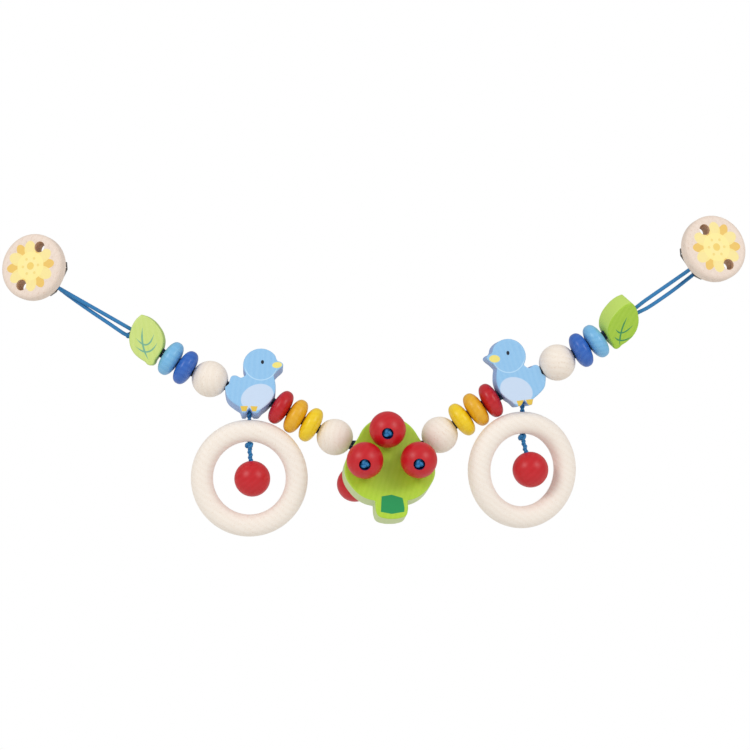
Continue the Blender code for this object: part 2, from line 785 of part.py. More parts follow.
def make_elastic():
    """Two strands, the loops at their ends, and the knot that closes the lower one by the left leaf."""
    half = STRAND_SPACING / 2
    knot_overhang = STRAND_OVERHANG
    tube("upper_strand", strand_points(half, (STRAND_OVERHANG, STRAND_OVERHANG)), CORD_DIAMETER, ELASTIC)
    tube("lower_strand", strand_points(-half, (knot_overhang, STRAND_OVERHANG)), CORD_DIAMETER, ELASTIC)
    short = STRAND_OVERHANG + SEAT_GAP
    leaf = ARMS[-1]["leaf"]
    outwards = leaf.direction
    upward = Vector((-outwards.z, 0.0, outwards.x)) * -1
    knot_start = leaf.outer + outwards * (knot_overhang + SEAT_GAP) - upward * KNOT_DROP
    steps = knot_steps(knot_start, outwards, KNOT_LENGTH)
    widest = [thick for _, thick in steps]
    tube("knot", [place for place, _ in steps], KNOT_DIAMETER, ELASTIC, widest)
    knot_short = knot_overhang + KNOT_LENGTH + SEAT_GAP * 2
    left = loop_route(-1, LEFT_SPLIT_AT_BAR, LEFT_SPLIT_AT_LEAF, ((short, half), (knot_short, -KNOT_DROP)))
    right = loop_route(1, RIGHT_SPLIT_AT_BAR, RIGHT_SPLIT_AT_LEAF, ((short, half), (short, -half)))
    tube("left_loop", left, CORD_DIAMETER, ELASTIC)
    tube("right_loop", right, CORD_DIAMETER, ELASTIC)


HANGER_DROPS = {-1: LEFT_HANGER_DROP, 1: RIGHT_HANGER_DROP}
RING_TWISTS_DEG = {-1: 0, 1: RIGHT_RING_TWIST_DEG}
DROP_LEANS_DEG = {-1: LEFT_DROP_LEAN_DEG, 1: RIGHT_DROP_LEAN_DEG}


def make_pendant(side):
    """A ring on a cord from the bird's feet, with a knot at its top inside and a ball below that."""
    label = SIDE_NAMES[side]
    down = Vector((0.0, 0.0, -1.0))
    top = foot_hole_top(side)
    ring_top = top + down * HANGER_DROPS[side]
    centre = ring_top + down * RING_OUTER_DIAMETER / 2
    section = (RING_OUTER_DIAMETER - RING_INNER_DIAMETER) / 4
    middle = (RING_OUTER_DIAMETER + RING_INNER_DIAMETER) / 4
    profile = []
    for i in range(RING_SECTION_SIDES):
        angle = math.radians(90) - math.tau * i / RING_SECTION_SIDES
        profile.append((middle + section * math.cos(angle), RING_THICKNESS / 2 * math.sin(angle)))
    twist = Matrix.Rotation(math.radians(RING_TWISTS_DEG[side]), 4, "Z")
    facing = Matrix.Translation(centre) @ twist @ Matrix.Rotation(math.radians(90), 4, "X")
    ring = turned(f"{label}_ring", profile, RING_SIDES, facing, BEECH)
    inner_top = centre - down * RING_INNER_DIAMETER / 2
    run = down * CUT_OVERRUN
    drill(ring, f"{label}_ring_hole", RING_HOLE_DIAMETER, ring_top - run, inner_top + run)
    cord_top = top - down * (FOOT_HOLE_DEPTH - SEAT_GAP)
    cord_low = inner_top - down * HANGER_END_RISE
    tube(f"{label}_hanger_cord", [cord_top, top, ring_top, cord_low], CORD_DIAMETER, ELASTIC)
    lean = math.radians(DROP_LEANS_DEG[side])
    sway = Vector((math.sin(lean), 0.0, -math.cos(lean)))
    knot_middle = inner_top + down * (SEAT_GAP + DROP_KNOT_LENGTH / 2)
    start = knot_middle - sway * DROP_KNOT_LENGTH / 2
    steps = knot_steps(start, sway, DROP_KNOT_LENGTH)
    shape = [thick for _, thick in steps]
    tube(f"{label}_drop_knot", [place for place, _ in steps], DROP_KNOT_DIAMETER, ELASTIC, shape)
    cord_start = knot_middle + sway * (DROP_KNOT_LENGTH / 2 + DROP_CORD_GAP)
    ball_top = cord_start + sway * DROP_CORD_LENGTH
    ball_middle = ball_top + sway * DROP_BALL_DIAMETER / 2
    ball_profile = blind_profile(DROP_BALL_DIAMETER, BERRY_HOLE_DIAMETER, DROP_BALL_SOCKET_DEPTH)
    turned(f"{label}_drop_ball", ball_profile, BEAD_SIDES, along(-sway, ball_middle), RED)
    cord_end = ball_top + sway * (DROP_BALL_SOCKET_DEPTH - SEAT_GAP)
    tube(f"{label}_drop_cord", [cord_start, ball_top, cord_end], CORD_DIAMETER, ELASTIC)


def blind_profile(diameter, hole, depth):
    """A ball with a blind hole at its top, from the hole's floor round to the ball's foot."""
    radius = diameter / 2
    start = math.asin(hole / diameter)
    steps = BEAD_ARC_STEPS + 1
    angles = [start + (math.pi - start) * i / steps for i in range(steps)]
    outer = [(math.sin(a) * radius, math.cos(a) * radius) for a in angles]
    floor = outer[0][1] - depth
    return [(0.0, floor), (hole / 2, floor)] + outer + [(0.0, -radius)]


def rounded_box(left, right, half_height, corner, cut_left=True, cut_right=True):
    """A rectangle's outline with its corners cut off, as plain corner points."""
    reach_left = corner if cut_left else 0.0
    reach_right = corner if cut_right else 0.0
    top, shoulder = half_height, half_height - corner
    outline = [(left + reach_left, top), (right - reach_right, top)]
    if cut_right:
        outline += [(right, shoulder), (right, -shoulder)]
    outline += [(right - reach_right, -top), (left + reach_left, -top)]
    if cut_left:
        outline += [(left, -shoulder), (left, shoulder)]
    return [(across, up, True) for across, up in outline]


def clip_frame(side):
    """The clip's frame at the middle of its disc: X towards the chain, Y backwards, Z along the bar."""
    tilt = Matrix.Rotation(math.radians(-CLIP_TILT_DEG), 3, "Z")
    axes = pull_frame(side) @ tilt
    bar_back = DISC_THICKNESS / 2 + SEAT_GAP + EYE_STEP + SHEET_THICKNESS / 2
    middle = BARS[side] - axes @ Vector((EYE_REACH, bar_back, 0.0))
    matrix = axes.to_4x4()
    matrix.translation = middle
    return matrix


def disc_profile():
    """A disc with rounded rims, about Z."""
    radius, half, rim = DISC_DIAMETER / 2, DISC_THICKNESS / 2, DISC_EDGE_ROUND
    slant = rim * math.sin(math.radians(45))
    top = [(0.0, half), (radius - rim, half), (radius - rim + slant, half - rim + slant), (radius, half - rim)]
    return top + [(across, -up) for across, up in reversed(top)]


def lever_outline():
    """The lever seen along its pin: the barrel with the cam's lobe towards the pad, and the arm.

    Its first coordinate runs towards the eye and its second backwards, from the pin's axis.
    """
    outline = []
    for angle in range(90, 361, 30):
        turn = math.radians(angle)
        swell = max(0.0, math.cos(math.radians(angle - 270))) ** 2
        radius = LEVER_BARREL_RADIUS + (LEVER_LOBE_REACH - LEVER_BARREL_RADIUS) * swell
        outline.append((radius * math.cos(turn), radius * math.sin(turn)))
    top = LEVER_BARREL_RADIUS
    low = top - LEVER_ARM_DIP
    arm_end = LEVER_ARM_LENGTH - LEVER_TAB_LENGTH
    sheet = LEVER_ARM_THICKNESS
    outline.append((LEVER_BARREL_RADIUS + sheet, top - sheet * 1.5))
    outline.append((arm_end, low - sheet))
    outline.append((LEVER_ARM_LENGTH, low - sheet + LEVER_TAB_LIFT))
    outline.append((LEVER_ARM_LENGTH, low + LEVER_TAB_LIFT))
    outline.append((arm_end, low))
    outline.append((LEVER_BARREL_RADIUS, top - sheet / 4))
    return [(across, up, True) for across, up in outline]


PIN_BACK = (
    DISC_THICKNESS / 2
    + SEAT_GAP
    + SHEET_THICKNESS
    + SEAT_GAP
    + PAD_THICKNESS
    + JAW_OPENING
    + LEVER_LOBE_REACH
)


def make_clip(side):
    """The disc in front, and behind it the plate with its eye, the pad, and the lever on its pin."""
    label = SIDE_NAMES[side]
    frame = clip_frame(side)
    forwards = Vector((0.0, -1.0, 0.0))
    face_on = frame @ along(forwards, Vector((0.0, 0.0, 0.0)))
    disc = turned(f"{label}_disc", disc_profile(), DISC_SIDES, face_on, BEECH)
    depth = DISC_THICKNESS / 2 + CUT_OVERRUN
    for end, sign in (("upper", 1), ("lower", -1)):
        across = sign * VENT_SPACING / 2
        front, back = Vector((0.0, -depth, across)), Vector((0.0, depth, across))
        drill(disc, f"{label}_{end}_vent", VENT_DIAMETER, frame @ front, frame @ back)
    plate_front = DISC_THICKNESS / 2 + SEAT_GAP
    plate_back = plate_front + SHEET_THICKNESS
    blind = Vector((0.0, plate_front - RIVET_DEPTH - SEAT_GAP, 0.0))
    behind = Vector((0.0, plate_back + CUT_OVERRUN, 0.0))
    rivet_bore = RIVET_DIAMETER + SEAT_GAP
    drill(disc, f"{label}_disc_rivet_hole", rivet_bore, frame @ blind, frame @ behind)

    def flat(name, outline, middle_back, thickness, target=CUTTERS):
        moved = frame @ Matrix.Translation((0.0, middle_back, 0.0))
        return sawn(name, outline, thickness, 0.0, moved, STEEL, target)

    body_outline = rounded_box(-PLATE_GRIP_REACH, EYE_START, PLATE_WIDTH / 2, PLATE_CORNER, True, False)
    plate_middle = plate_front + SHEET_THICKNESS / 2
    plate = flat(f"{label}_plate", body_outline, plate_middle, SHEET_THICKNESS, TOY)
    eye_middle = plate_middle + EYE_STEP
    eye_end = EYE_REACH + EYE_BAR_WIDTH / 2
    eye_outline = rounded_box(EYE_START - SHEET_THICKNESS, eye_end, EYE_WIDTH / 2, EYE_CORNER)
    eye = flat(f"{label}_eye", eye_outline, eye_middle, SHEET_THICKNESS)
    cut(plate, eye, "UNION")
    sheet = SHEET_THICKNESS
    low = (EYE_START - sheet, plate_front + sheet / 4, -PLATE_WIDTH / 2 + sheet / 4)
    high = (EYE_START - sheet / 4, eye_middle, PLATE_WIDTH / 2 - sheet / 4)
    cut(plate, block(f"{label}_riser", low, high, frame, STEEL, CUTTERS), "UNION")
    slot_end = EYE_REACH - EYE_BAR_WIDTH / 2
    slot_low = (slot_end - EYE_SLOT_LENGTH, eye_middle - sheet, -EYE_SLOT_WIDTH / 2)
    slot_high = (slot_end, eye_middle + sheet, EYE_SLOT_WIDTH / 2)
    cut(plate, block(f"{label}_slot", slot_low, slot_high, frame, STEEL, CUTTERS))
    ear_back = PIN_BACK + EAR_MARGIN
    for end, sign in (("upper", 1), ("lower", -1)):
        outside, inside = PLATE_WIDTH / 2 + sheet / 4, PLATE_WIDTH / 2 - sheet * 3 / 4
        lows = (-PIN_REACH - EAR_LENGTH / 2, plate_front + sheet / 4, min(sign * outside, sign * inside))
        highs = (-PIN_REACH + EAR_LENGTH / 2, ear_back, max(sign * outside, sign * inside))
        cut(plate, block(f"{label}_{end}_ear", lows, highs, frame, STEEL, CUTTERS), "UNION")
    pin_half = PLATE_WIDTH / 2 + sheet / 4
    pin_low = Vector((-PIN_REACH, PIN_BACK, -pin_half - CUT_OVERRUN))
    pin_high = Vector((-PIN_REACH, PIN_BACK, pin_half + CUT_OVERRUN))
    pin_bore = PIN_DIAMETER + 2 * PIN_CLEARANCE
    drill(plate, f"{label}_pin_hole", pin_bore, frame @ pin_low, frame @ pin_high)
    drill(plate, f"{label}_plate_rivet_hole", rivet_bore, frame @ blind, frame @ behind)

    half = pin_half + SEAT_GAP
    head, shank = PIN_HEAD_DIAMETER / 2, PIN_DIAMETER / 2
    pin_profile = [(0.0, half + PIN_HEAD_THICKNESS), (head, half + PIN_HEAD_THICKNESS), (head, half), (shank, half)]
    pin_profile += [(across, -up) for across, up in reversed(pin_profile)]
    pin_matrix = frame @ Matrix.Translation((-PIN_REACH, PIN_BACK, 0.0))
    turned(f"{label}_pivot_pin", pin_profile, SMALL_SIDES, pin_matrix, STEEL)

    lever_width = 2 * (PLATE_WIDTH / 2 - sheet * 3 / 4 - SEAT_GAP)
    lever_matrix = pin_matrix @ Matrix.Rotation(math.radians(-90), 4, "X")
    lever = sawn(f"{label}_lever", lever_outline(), lever_width, 0.0, lever_matrix, STEEL)
    drill(lever, f"{label}_lever_bore", pin_bore, frame @ pin_low, frame @ pin_high)

    pad_front = plate_back + SEAT_GAP
    pad_low = (-PLATE_GRIP_REACH + SEAT_GAP, pad_front, -PAD_WIDTH / 2)
    pad_high = (-PLATE_GRIP_REACH + SEAT_GAP + PAD_LENGTH, pad_front + PAD_THICKNESS, PAD_WIDTH / 2)
    block(f"{label}_pad", pad_low, pad_high, frame, NYLON)

    cap, stem = RIVET_HEAD_DIAMETER / 2, RIVET_DIAMETER / 2
    head_base = plate_back + SEAT_GAP
    rivet_profile = [(0.0, head_base + RIVET_HEAD_THICKNESS), (cap * 2 / 3, head_base + RIVET_HEAD_THICKNESS)]
    rivet_profile += [(cap, head_base), (stem, head_base)]
    rivet_profile += [(stem, plate_front - RIVET_DEPTH), (0.0, plate_front - RIVET_DEPTH)]
    backwards = Vector((0.0, 1.0, 0.0))
    rivet_matrix = frame @ along(backwards, Vector((0.0, 0.0, 0.0)))
    turned(f"{label}_rivet", rivet_profile, SMALL_SIDES, rivet_matrix, STEEL)


make_turned_beads()
make_birds_and_leaves()
make_tree()
make_berries()
make_elastic()
for side in SIDE_NAMES:
    make_pendant(side)
    make_clip(side)
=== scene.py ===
"""The looks of a pram chain toy: wooden beads, birds, leaves and a tree on blue elastic."""

import json
import math

import bmesh
import bpy
import numpy as np
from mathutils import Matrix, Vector
from mathutils.geometry import delaunay_2d_cdt


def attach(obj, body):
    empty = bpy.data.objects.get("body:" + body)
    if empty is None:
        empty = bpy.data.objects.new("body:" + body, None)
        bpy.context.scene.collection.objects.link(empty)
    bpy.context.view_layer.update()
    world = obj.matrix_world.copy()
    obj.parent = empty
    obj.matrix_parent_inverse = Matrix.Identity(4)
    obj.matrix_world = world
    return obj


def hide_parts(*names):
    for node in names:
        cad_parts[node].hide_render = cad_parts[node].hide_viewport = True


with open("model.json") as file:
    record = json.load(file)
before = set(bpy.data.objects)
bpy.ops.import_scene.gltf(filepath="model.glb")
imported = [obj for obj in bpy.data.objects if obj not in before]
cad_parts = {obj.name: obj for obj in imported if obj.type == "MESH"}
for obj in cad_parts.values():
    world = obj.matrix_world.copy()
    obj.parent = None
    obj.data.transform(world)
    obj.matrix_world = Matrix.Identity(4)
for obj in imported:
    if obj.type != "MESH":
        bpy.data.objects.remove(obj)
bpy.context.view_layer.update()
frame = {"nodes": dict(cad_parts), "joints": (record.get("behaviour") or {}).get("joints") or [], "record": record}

# Camera, floor and studio light. The toy is looked at square on from a metre away, hanging in
# front of white paper, with a soft lamp high on each side and white walls all round.
scene = bpy.context.scene
scene.view_settings.view_transform = "Standard"
view_distance = 1.0
view_centre = (0.0001, 0.0, -0.05547)
view_width = 0.4104
eye = bpy.data.cameras.new("camera")
eye.sensor_width = 36.0
eye.lens = eye.sensor_width * view_distance / view_width
eye.clip_start = 0.01
camera = bpy.data.objects.new("camera", eye)
camera.location = (view_centre[0], -view_distance, view_centre[2])
camera.rotation_euler = (math.radians(90), 0.0, 0.0)
scene.collection.objects.link(camera)
scene.camera = camera


def unit(vectors):
    """Vectors of length 1 that point the same ways."""
    vectors = np.asarray(vectors, float)
    return vectors / np.linalg.norm(vectors, axis=-1, keepdims=True)


lamp_distance, lamp_size = 1.3, 0.42
lamps = {"lamp_left": ((-0.62, -0.62, 0.50), 4.5), "lamp_right": ((0.66, -0.60, 0.48), 4.0)}
for name, (direction, watts) in lamps.items():
    light = bpy.data.lights.new(name, "AREA")
    light.size = lamp_size
    light.energy = watts
    lamp = bpy.data.objects.new(name, light)
    lamp.location = np.array(view_centre) + unit(direction) * lamp_distance
    lamp.rotation_euler = lamp.location.copy().to_track_quat("Z", "Y").to_euler()
    scene.collection.objects.link(lamp)


def linear(hex_colour):
    """An sRGB hex colour as linear RGBA, by the sRGB curve."""
    parts = np.array([int(hex_colour[i : i + 2], 16) for i in (1, 3, 5)]) / 255
    curve = np.where(parts <= 0.04045, parts / 12.92, ((parts + 0.055) / 1.055) ** 2.4)
    return (*curve.tolist(), 1.0)


def node(tree, kind, inputs=None, **settings):
    """Adds a shader node with its settings; an input is a value or the socket to link from."""
    made = tree.nodes.new("ShaderNode" + kind)
    for key, value in settings.items():
        setattr(made, key, value)
    for key, value in (inputs or {}).items():
        if isinstance(value, bpy.types.NodeSocket):
            tree.links.new(value, made.inputs[key])
        else:
            made.inputs[key].default_value = value
    return made


def maths(tree, operation, *values):
    """What a maths node makes of its values, each a number or a socket."""
    return node(tree, "Math", dict(enumerate(values)), operation=operation).outputs[0]


wall_level, wall_level_in_gloss = 0.69, 0.43
world = bpy.data.worlds.new("white_room")
scene.world = world
world.use_nodes = True
room = world.node_tree
room.nodes.clear()
rays = node(room, "LightPath").outputs
seen = maths(room, "MAXIMUM", rays["Is Camera Ray"], rays["Is Transmission Ray"])
walls = maths(room, "MULTIPLY_ADD", rays["Is Glossy Ray"], wall_level_in_gloss - wall_level, wall_level)
level = maths(room, "MAXIMUM", seen, walls)
paper = node(room, "Background", {"Color": linear("#FFFFFF"), "Strength": level})
node(room, "OutputWorld", {"Surface": paper.outputs[0]})

floor_drop, floor_half = -0.345, 3.0
corners = [(x * floor_half, y * floor_half, floor_drop) for x, y in ((-1, -1), (1, -1), (1, 1), (-1, 1))]
floor_mesh = bpy.data.meshes.new("floor")
floor_mesh.from_pydata(corners, [], [(0, 1, 2, 3)])
floor = bpy.data.objects.new("floor", floor_mesh)
scene.collection.objects.link(floor)
floor_paint = bpy.data.materials.new("white_paper_floor")
floor_paint.use_nodes = True
ground = floor_paint.node_tree
ground.nodes.clear()


def remap(tree, value, low, high, first=0.0, last=1.0):
    """A value's way from low to high as a way from first to last, held at both ends."""
    ends = {"Value": value, "From Min": low, "From Max": high, "To Min": first, "To Max": last}
    return node(tree, "MapRange", ends).outputs[0]


def stretched(tree, vector, factors):
    """A vector with each of its parts multiplied by a factor."""
    return node(tree, "VectorMath", {0: vector, 1: factors}, operation="MULTIPLY").outputs[0]


def vector_length(tree, vector):
    """How long a vector is."""
    return node(tree, "VectorMath", {0: vector}, operation="LENGTH").outputs["Value"]


away = vector_length(ground, stretched(ground, node(ground, "TexCoord").outputs["Object"], (1.0, 1.0, 0.0)))
camera_ray = node(ground, "LightPath").outputs["Is Camera Ray"]
share = maths(ground, "MULTIPLY", camera_ray, remap(ground, away, 0.12, 0.30, 0.45, 1.0))
matt = node(ground, "BsdfDiffuse", {"Color": linear("#F2F2F0")})
glow = node(ground, "Emission", {"Color": linear("#FFFFFF"), "Strength": 1.0})
both = node(ground, "MixShader", {0: share, 1: matt.outputs[0], 2: glow.outputs[0]})
node(ground, "OutputMaterial", {"Surface": both.outputs[0]})
floor_mesh.materials.append(floor_paint)

# Elastic cord. One blue rubber cord with a braided cover, doubled through every bore and looped
# round the eye bar of each clip. Its loops hang free and show the braid; the rest is in the bores.
cord_diameter = 0.0021
joint = {found["name"]: found for found in frame["joints"]}


def principled(name, **inputs):
    """A new material and its Principled shader, with plain values on the shader's own sockets."""
    made = bpy.data.materials.new(name)
    made.use_nodes = True
    shader = made.node_tree.nodes["Principled BSDF"]
    for key, value in inputs.items():
        shader.inputs[key.replace("_", " ")].default_value = value
    return made, made.node_tree, shader


def tinted(tree, factor, first, second):
    """A colour between two others; each is a hex colour or a socket."""
    ends = [linear(c) if isinstance(c, str) else c for c in (first, second)]
    return node(tree, "Mix", {0: factor, 6: ends[0], 7: ends[1]}, data_type="RGBA").outputs[2]


def noise(tree, place, scale=1.0, detail=3.0, **more):
    return node(tree, "TexNoise", {"Vector": place, "Scale": scale, "Detail": detail, **more}).outputs[0]


def surface(tree, shader, colour, height, strength, distance):
    """Gives a shader its colour and a fine relief."""
    tree.links.new(colour, shader.inputs["Base Color"])
    relief = node(tree, "Bump", {"Height": height, "Strength": strength, "Distance": distance})
    tree.links.new(relief.outputs[0], shader.inputs["Normal"])


# Braided nylon over rubber: two sets of threads wound opposite ways, eight of each round the cord,
# which make fine slanted ribs in relief, painted lighter on top and darker between as painted light and shade.
threads_round, thread_run = 8, 0.9
elastic, tree, shader = principled("braided_blue_elastic", Roughness=0.62, IOR=1.5)
wound = node(tree, "SeparateXYZ", {0: node(tree, "UVMap", uv_map="cord").outputs[0]}).outputs
ribs = []
for way in (1, -1):
    turn = maths(tree, "MULTIPLY", wound["X"], threads_round * way)
    run = maths(tree, "MULTIPLY_ADD", wound["Y"], 1 / thread_run, turn)
    ribs.append(maths(tree, "SINE", maths(tree, "MULTIPLY", run, math.tau)))
braid = remap(tree, maths(tree, "MAXIMUM", *ribs), -0.6, 1.0)
# The rib height sets both the relief and the painted highlight on the crests and painted shade in the grooves.
surface(tree, shader, tinted(tree, braid, "#17568F", "#2C88C4"), braid, 0.5, 0.00012)

# The same elastic where only short bits of it show between the beads, painted near-black as painted shade.
elastic_painted_shade, tree, shader = principled("blue_elastic_in_painted_shade", Roughness=0.65, IOR=1.5)
fine = noise(tree, node(tree, "TexCoord").outputs["Object"], 1400.0, 2.0)
surface(tree, shader, tinted(tree, fine, "#0A1E33", "#153D63"), fine, 0.4, 0.0001)


def gone_along(points):
    """How far along a line of points each of them lies."""
    return np.concatenate([[0], np.cumsum(np.linalg.norm(np.diff(points, axis=0), axis=1))])


def smooth_path(points, count):
    """A Catmull-Rom curve through the points, resampled to evenly spaced points."""
    p = np.asarray(points, float)
    padded = np.vstack([2 * p[0] - p[1], p, 2 * p[-1] - p[-2]])
    t = np.linspace(0, len(p) - 1, 12 * len(p))
    i = np.minimum(t.astype(int), len(p) - 2)
    s = (t - i)[:, None]
    a, b, c, d = padded[i], padded[i + 1], padded[i + 2], padded[i + 3]
    cubic = (3 * b - a - 3 * c + d) * s**3
    fine_points = 0.5 * (2 * b + (c - a) * s + (2 * a - 5 * b + 4 * c - d) * s**2 + cubic)
    gone = gone_along(fine_points)
    even = np.linspace(0, gone[-1], count)
    return np.stack([np.interp(even, gone, fine_points[:, k]) for k in range(3)], axis=1)


def tube_grid(path, radius, sides, closed):
    """Rings of points round a path, each turned as little as may be from the ring before it."""
    if closed:
        ahead = np.roll(path, -1, axis=0) - np.roll(path, 1, axis=0)
    else:
        ahead = np.gradient(path, axis=0)
    ahead = unit(ahead)
    side = np.cross(ahead[0], (0.3, 0.9, 0.2))
    sides_kept = []
    for way in ahead:
        side = unit(side - way * (side @ way))
        sides_kept.append(side)
    right = np.array(sides_kept)
    if closed:
        last = right[-1] - ahead[0] * (right[-1] @ ahead[0])
        slip = math.atan2(np.cross(right[0], last) @ ahead[0], last @ right[0])
        share = (np.arange(len(path)) / len(path) * -slip)[:, None]
        right = right * np.cos(share) + np.cross(ahead, right) * np.sin(share)
    up = np.cross(ahead, right)
    turn = np.arange(sides) / sides * math.tau
    ring = right[:, None] * np.cos(turn)[None, :, None] + up[:, None] * np.sin(turn)[None, :, None]
    return path[:, None] + ring * radius


def grid_quads(rows, columns, closed_rows):
    """The four corner numbers of each face of a grid of points whose columns close into rings."""
    r = np.arange(rows if closed_rows else rows - 1)[:, None]
    c = np.arange(columns)[None, :]
    r2, c2 = (r + 1) % rows, (c + 1) % columns
    quads = np.stack([r * columns + c, r * columns + c2, r2 * columns + c2, r2 * columns + c], axis=-1)
    return quads.reshape(-1, 4)


def shape(name, points, faces):
    """A mesh object from points and faces, its doubled points merged and its faces turned outwards."""
    mesh = bpy.data.meshes.new(name)
    mesh.from_pydata(np.asarray(points).reshape(-1, 3).tolist(), [], [list(face) for face in faces])
    work = bmesh.new()
    work.from_mesh(mesh)
    bmesh.ops.remove_doubles(work, verts=work.verts, dist=1e-7)
    bmesh.ops.recalc_face_normals(work, faces=work.faces)
    work.to_mesh(mesh)
    work.free()
    made = bpy.data.objects.new(name, mesh)
    scene.collection.objects.link(made)
    return made


def smooth(piece, angle):
    piece.data.shade_smooth()
    piece.data.set_sharp_from_angle(angle=math.radians(angle))


def finish_piece(piece, body, nodes):
    """Hangs the piece on its body, in the place of the nodes that it stands for."""
    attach(piece, body)
    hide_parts(*nodes)


def cord_piece(name, body, cad_node, runs):
    """Tubes in one mesh, with UVs of turns round the cord and millimetres along it.

    Each run is (path, radius, is it a closed loop); an open run is capped.
    """
    points, faces, uvs, start, sides = [], [], [], 0, 16
    for path, radius, closed in runs:
        rings = tube_grid(np.asarray(path), radius, sides, closed)
        quads = grid_quads(len(path), sides, closed) + start
        gone = gone_along(path) * 1000
        row, column = (quads[:, 0] - start) // sides, (quads[:, 0] - start) % sides
        nearer, further = gone[row], np.append(gone, gone[-1])[row + 1]
        left, right = column / sides, (column + 1) / sides
        uv = np.stack([left, nearer, right, nearer, right, further, left, further], axis=1)
        uvs += uv.reshape(-1, 2).tolist()
        faces += quads.tolist()
        points.append(rings.reshape(-1, 3))
        if not closed:
            last = start + (len(path) - 1) * sides
            faces.append(list(range(start, start + sides))[::-1])
            faces.append(list(range(last, last + sides)))
            uvs += [[0.5, 0.0]] * (2 * sides)
        start += len(path) * sides
    mesh = bpy.data.meshes.new(name)
    mesh.from_pydata(np.vstack(points).tolist(), [], faces)
    layer = mesh.uv_layers.new(name="cord")
    layer.data.foreach_set("uv", np.array(uvs, dtype=np.float32).ravel())
    mesh.materials.append(elastic)
    made = bpy.data.objects.new(name, mesh)
    scene.collection.objects.link(made)
    smooth(made, 60)
    finish_piece(made, body, [cad_node])
    return made


def merged_copy(name, cad_node):
    """A copy of a CAD node with its doubled points merged, ready to be worked on."""
    mesh = frame["nodes"][cad_node].data.copy()
    mesh.name = name
    work = bmesh.new()
    work.from_mesh(mesh)
    bmesh.ops.remove_doubles(work, verts=work.verts, dist=1e-6)
    bmesh.ops.dissolve_limit(work, angle_limit=math.radians(1), verts=work.verts, edges=work.edges)
    work.to_mesh(mesh)
    work.free()
    mesh.materials.clear()
    made = bpy.data.objects.new(name, mesh)
    scene.collection.objects.link(made)
    return made


# Pressed together between the beads, the two strands swell until they touch.
strand_swell = 0.00024
for name in ("upper_strand", "lower_strand"):
    strand = merged_copy(f"{name}_swollen", name)
    outward = [tuple(vertex.normal) for vertex in strand.data.vertices]
    for vertex, way in zip(strand.data.vertices, outward):
        vertex.co += Vector(way) * strand_swell
    # The swollen strands take the elastic that is painted near-black as painted shade.
    strand.data.materials.append(elastic_painted_shade)
    smooth(strand, 50)
    finish_piece(strand, "chain", [name])

loop_points = {
    "left": [
        (-133.38, 0.0, -30.43), (-135.12, 0.0, -29.44), (-140.92, -0.1, -26.12), (-148.92, -0.4, -21.54),
        (-156.12, -0.84, -17.42), (-162.52, -1.37, -13.75), (-168.12, -1.94, -10.52), (-172.92, -2.5, -7.77),
        (-174.45, -1.77, -6.89), (-175.13, 0.0, -6.6), (-174.56, 1.77, -7.07), (-173.08, 2.5, -8.03),
        (-168.94, 1.94, -11.15), (-164.11, 1.37, -14.62), (-158.59, 0.84, -18.46), (-152.37, 0.4, -22.68),
        (-145.47, 0.1, -27.27), (-140.48, 0.0, -30.69), (-137.2, 0.0, -32.85), (-135.2, 0.0, -33.7),
    ],
    "right": [
        (141.66, 0.0, -19.57), (143.32, 0.0, -18.28), (147.65, -0.1, -14.93), (153.79, -0.4, -10.62),
        (159.32, -0.84, -6.75), (164.24, -1.37, -3.31), (168.54, -1.94, -0.3), (172.22, -2.5, 2.28),
        (173.98, -1.77, 2.86), (175.3, 0.0, 2.24), (175.44, 1.77, 0.78), (174.29, 2.5, -0.67),
        (170.6, 1.94, -3.55), (166.3, 1.37, -6.9), (161.39, 0.84, -10.5), (155.86, 0.4, -14.35),
        (149.71, 0.1, -18.4), (144.92, 0.0, -20.85), (143.26, 0.0, -21.7),
    ],
}
for side, points in loop_points.items():
    path = smooth_path(np.array(points) / 1000, 150)
    loop = cord_piece(f"{side}_loop_cord", "chain", f"{side}_loop", [(path, cord_diameter / 2, False)])


def knot_run(centre, way, width, length, cord_radius):
    """A closed run along a trefoil, the line of an overhand knot pulled tight, about a direction."""
    t = np.arange(72) / 72 * math.tau
    trefoil = np.stack([np.sin(t) + 2 * np.sin(2 * t), np.cos(t) - 2 * np.cos(2 * t), -np.sin(3 * t)], axis=1)
    trefoil = trefoil / (3, 3, 1) * (width / 2, width / 2, length / 2)
    way = unit(way)
    right = unit(np.cross(way, (0.2, 1.0, 0.1)))
    path = np.asarray(centre) + trefoil @ np.array([right, np.cross(way, right), way])
    return path, cord_radius, True


knot_middle, leaf_side = (-0.13490, 0.0, -0.03380), (-0.8290, 0.0, 0.5592)
closing_knot_size = (0.0019, 0.0011, 0.00072)
cord_piece("left_closing_knot", "chain", "knot", [knot_run(knot_middle, leaf_side, *closing_knot_size)])

# Bare beech balls. Turned from white beech and sanded, with no lacquer: the eye sees growth rings
# cut through as faint curves, and the short darker dashes that mark beech.


def along(way):
    """A turn that takes Z to a direction, as three columns."""
    z = unit(way)
    x = np.cross((0.0, 1.0, 0.0), z)
    x = unit(x) if np.linalg.norm(x) > 1e-3 else np.array([1.0, 0.0, 0.0])
    return np.stack([x, np.cross(z, x), z], axis=1)


def turned_shape(name, profile, middle, turn, sides=96):
    """A profile of (radius, height) in mm spun about Z, then turned and put in its place."""
    profile = np.asarray(profile, float)
    spin = np.arange(sides) / sides * math.tau
    x = profile[:, 0][:, None] * np.cos(spin)
    y = profile[:, 0][:, None] * np.sin(spin)
    z = np.broadcast_to(profile[:, 1][:, None], x.shape)
    points = np.stack([x, y, z], axis=-1).reshape(-1, 3) / 1000 @ turn.T + middle
    closed = profile[0, 0] > 0
    return shape(name, points, grid_quads(len(profile), sides, closed))


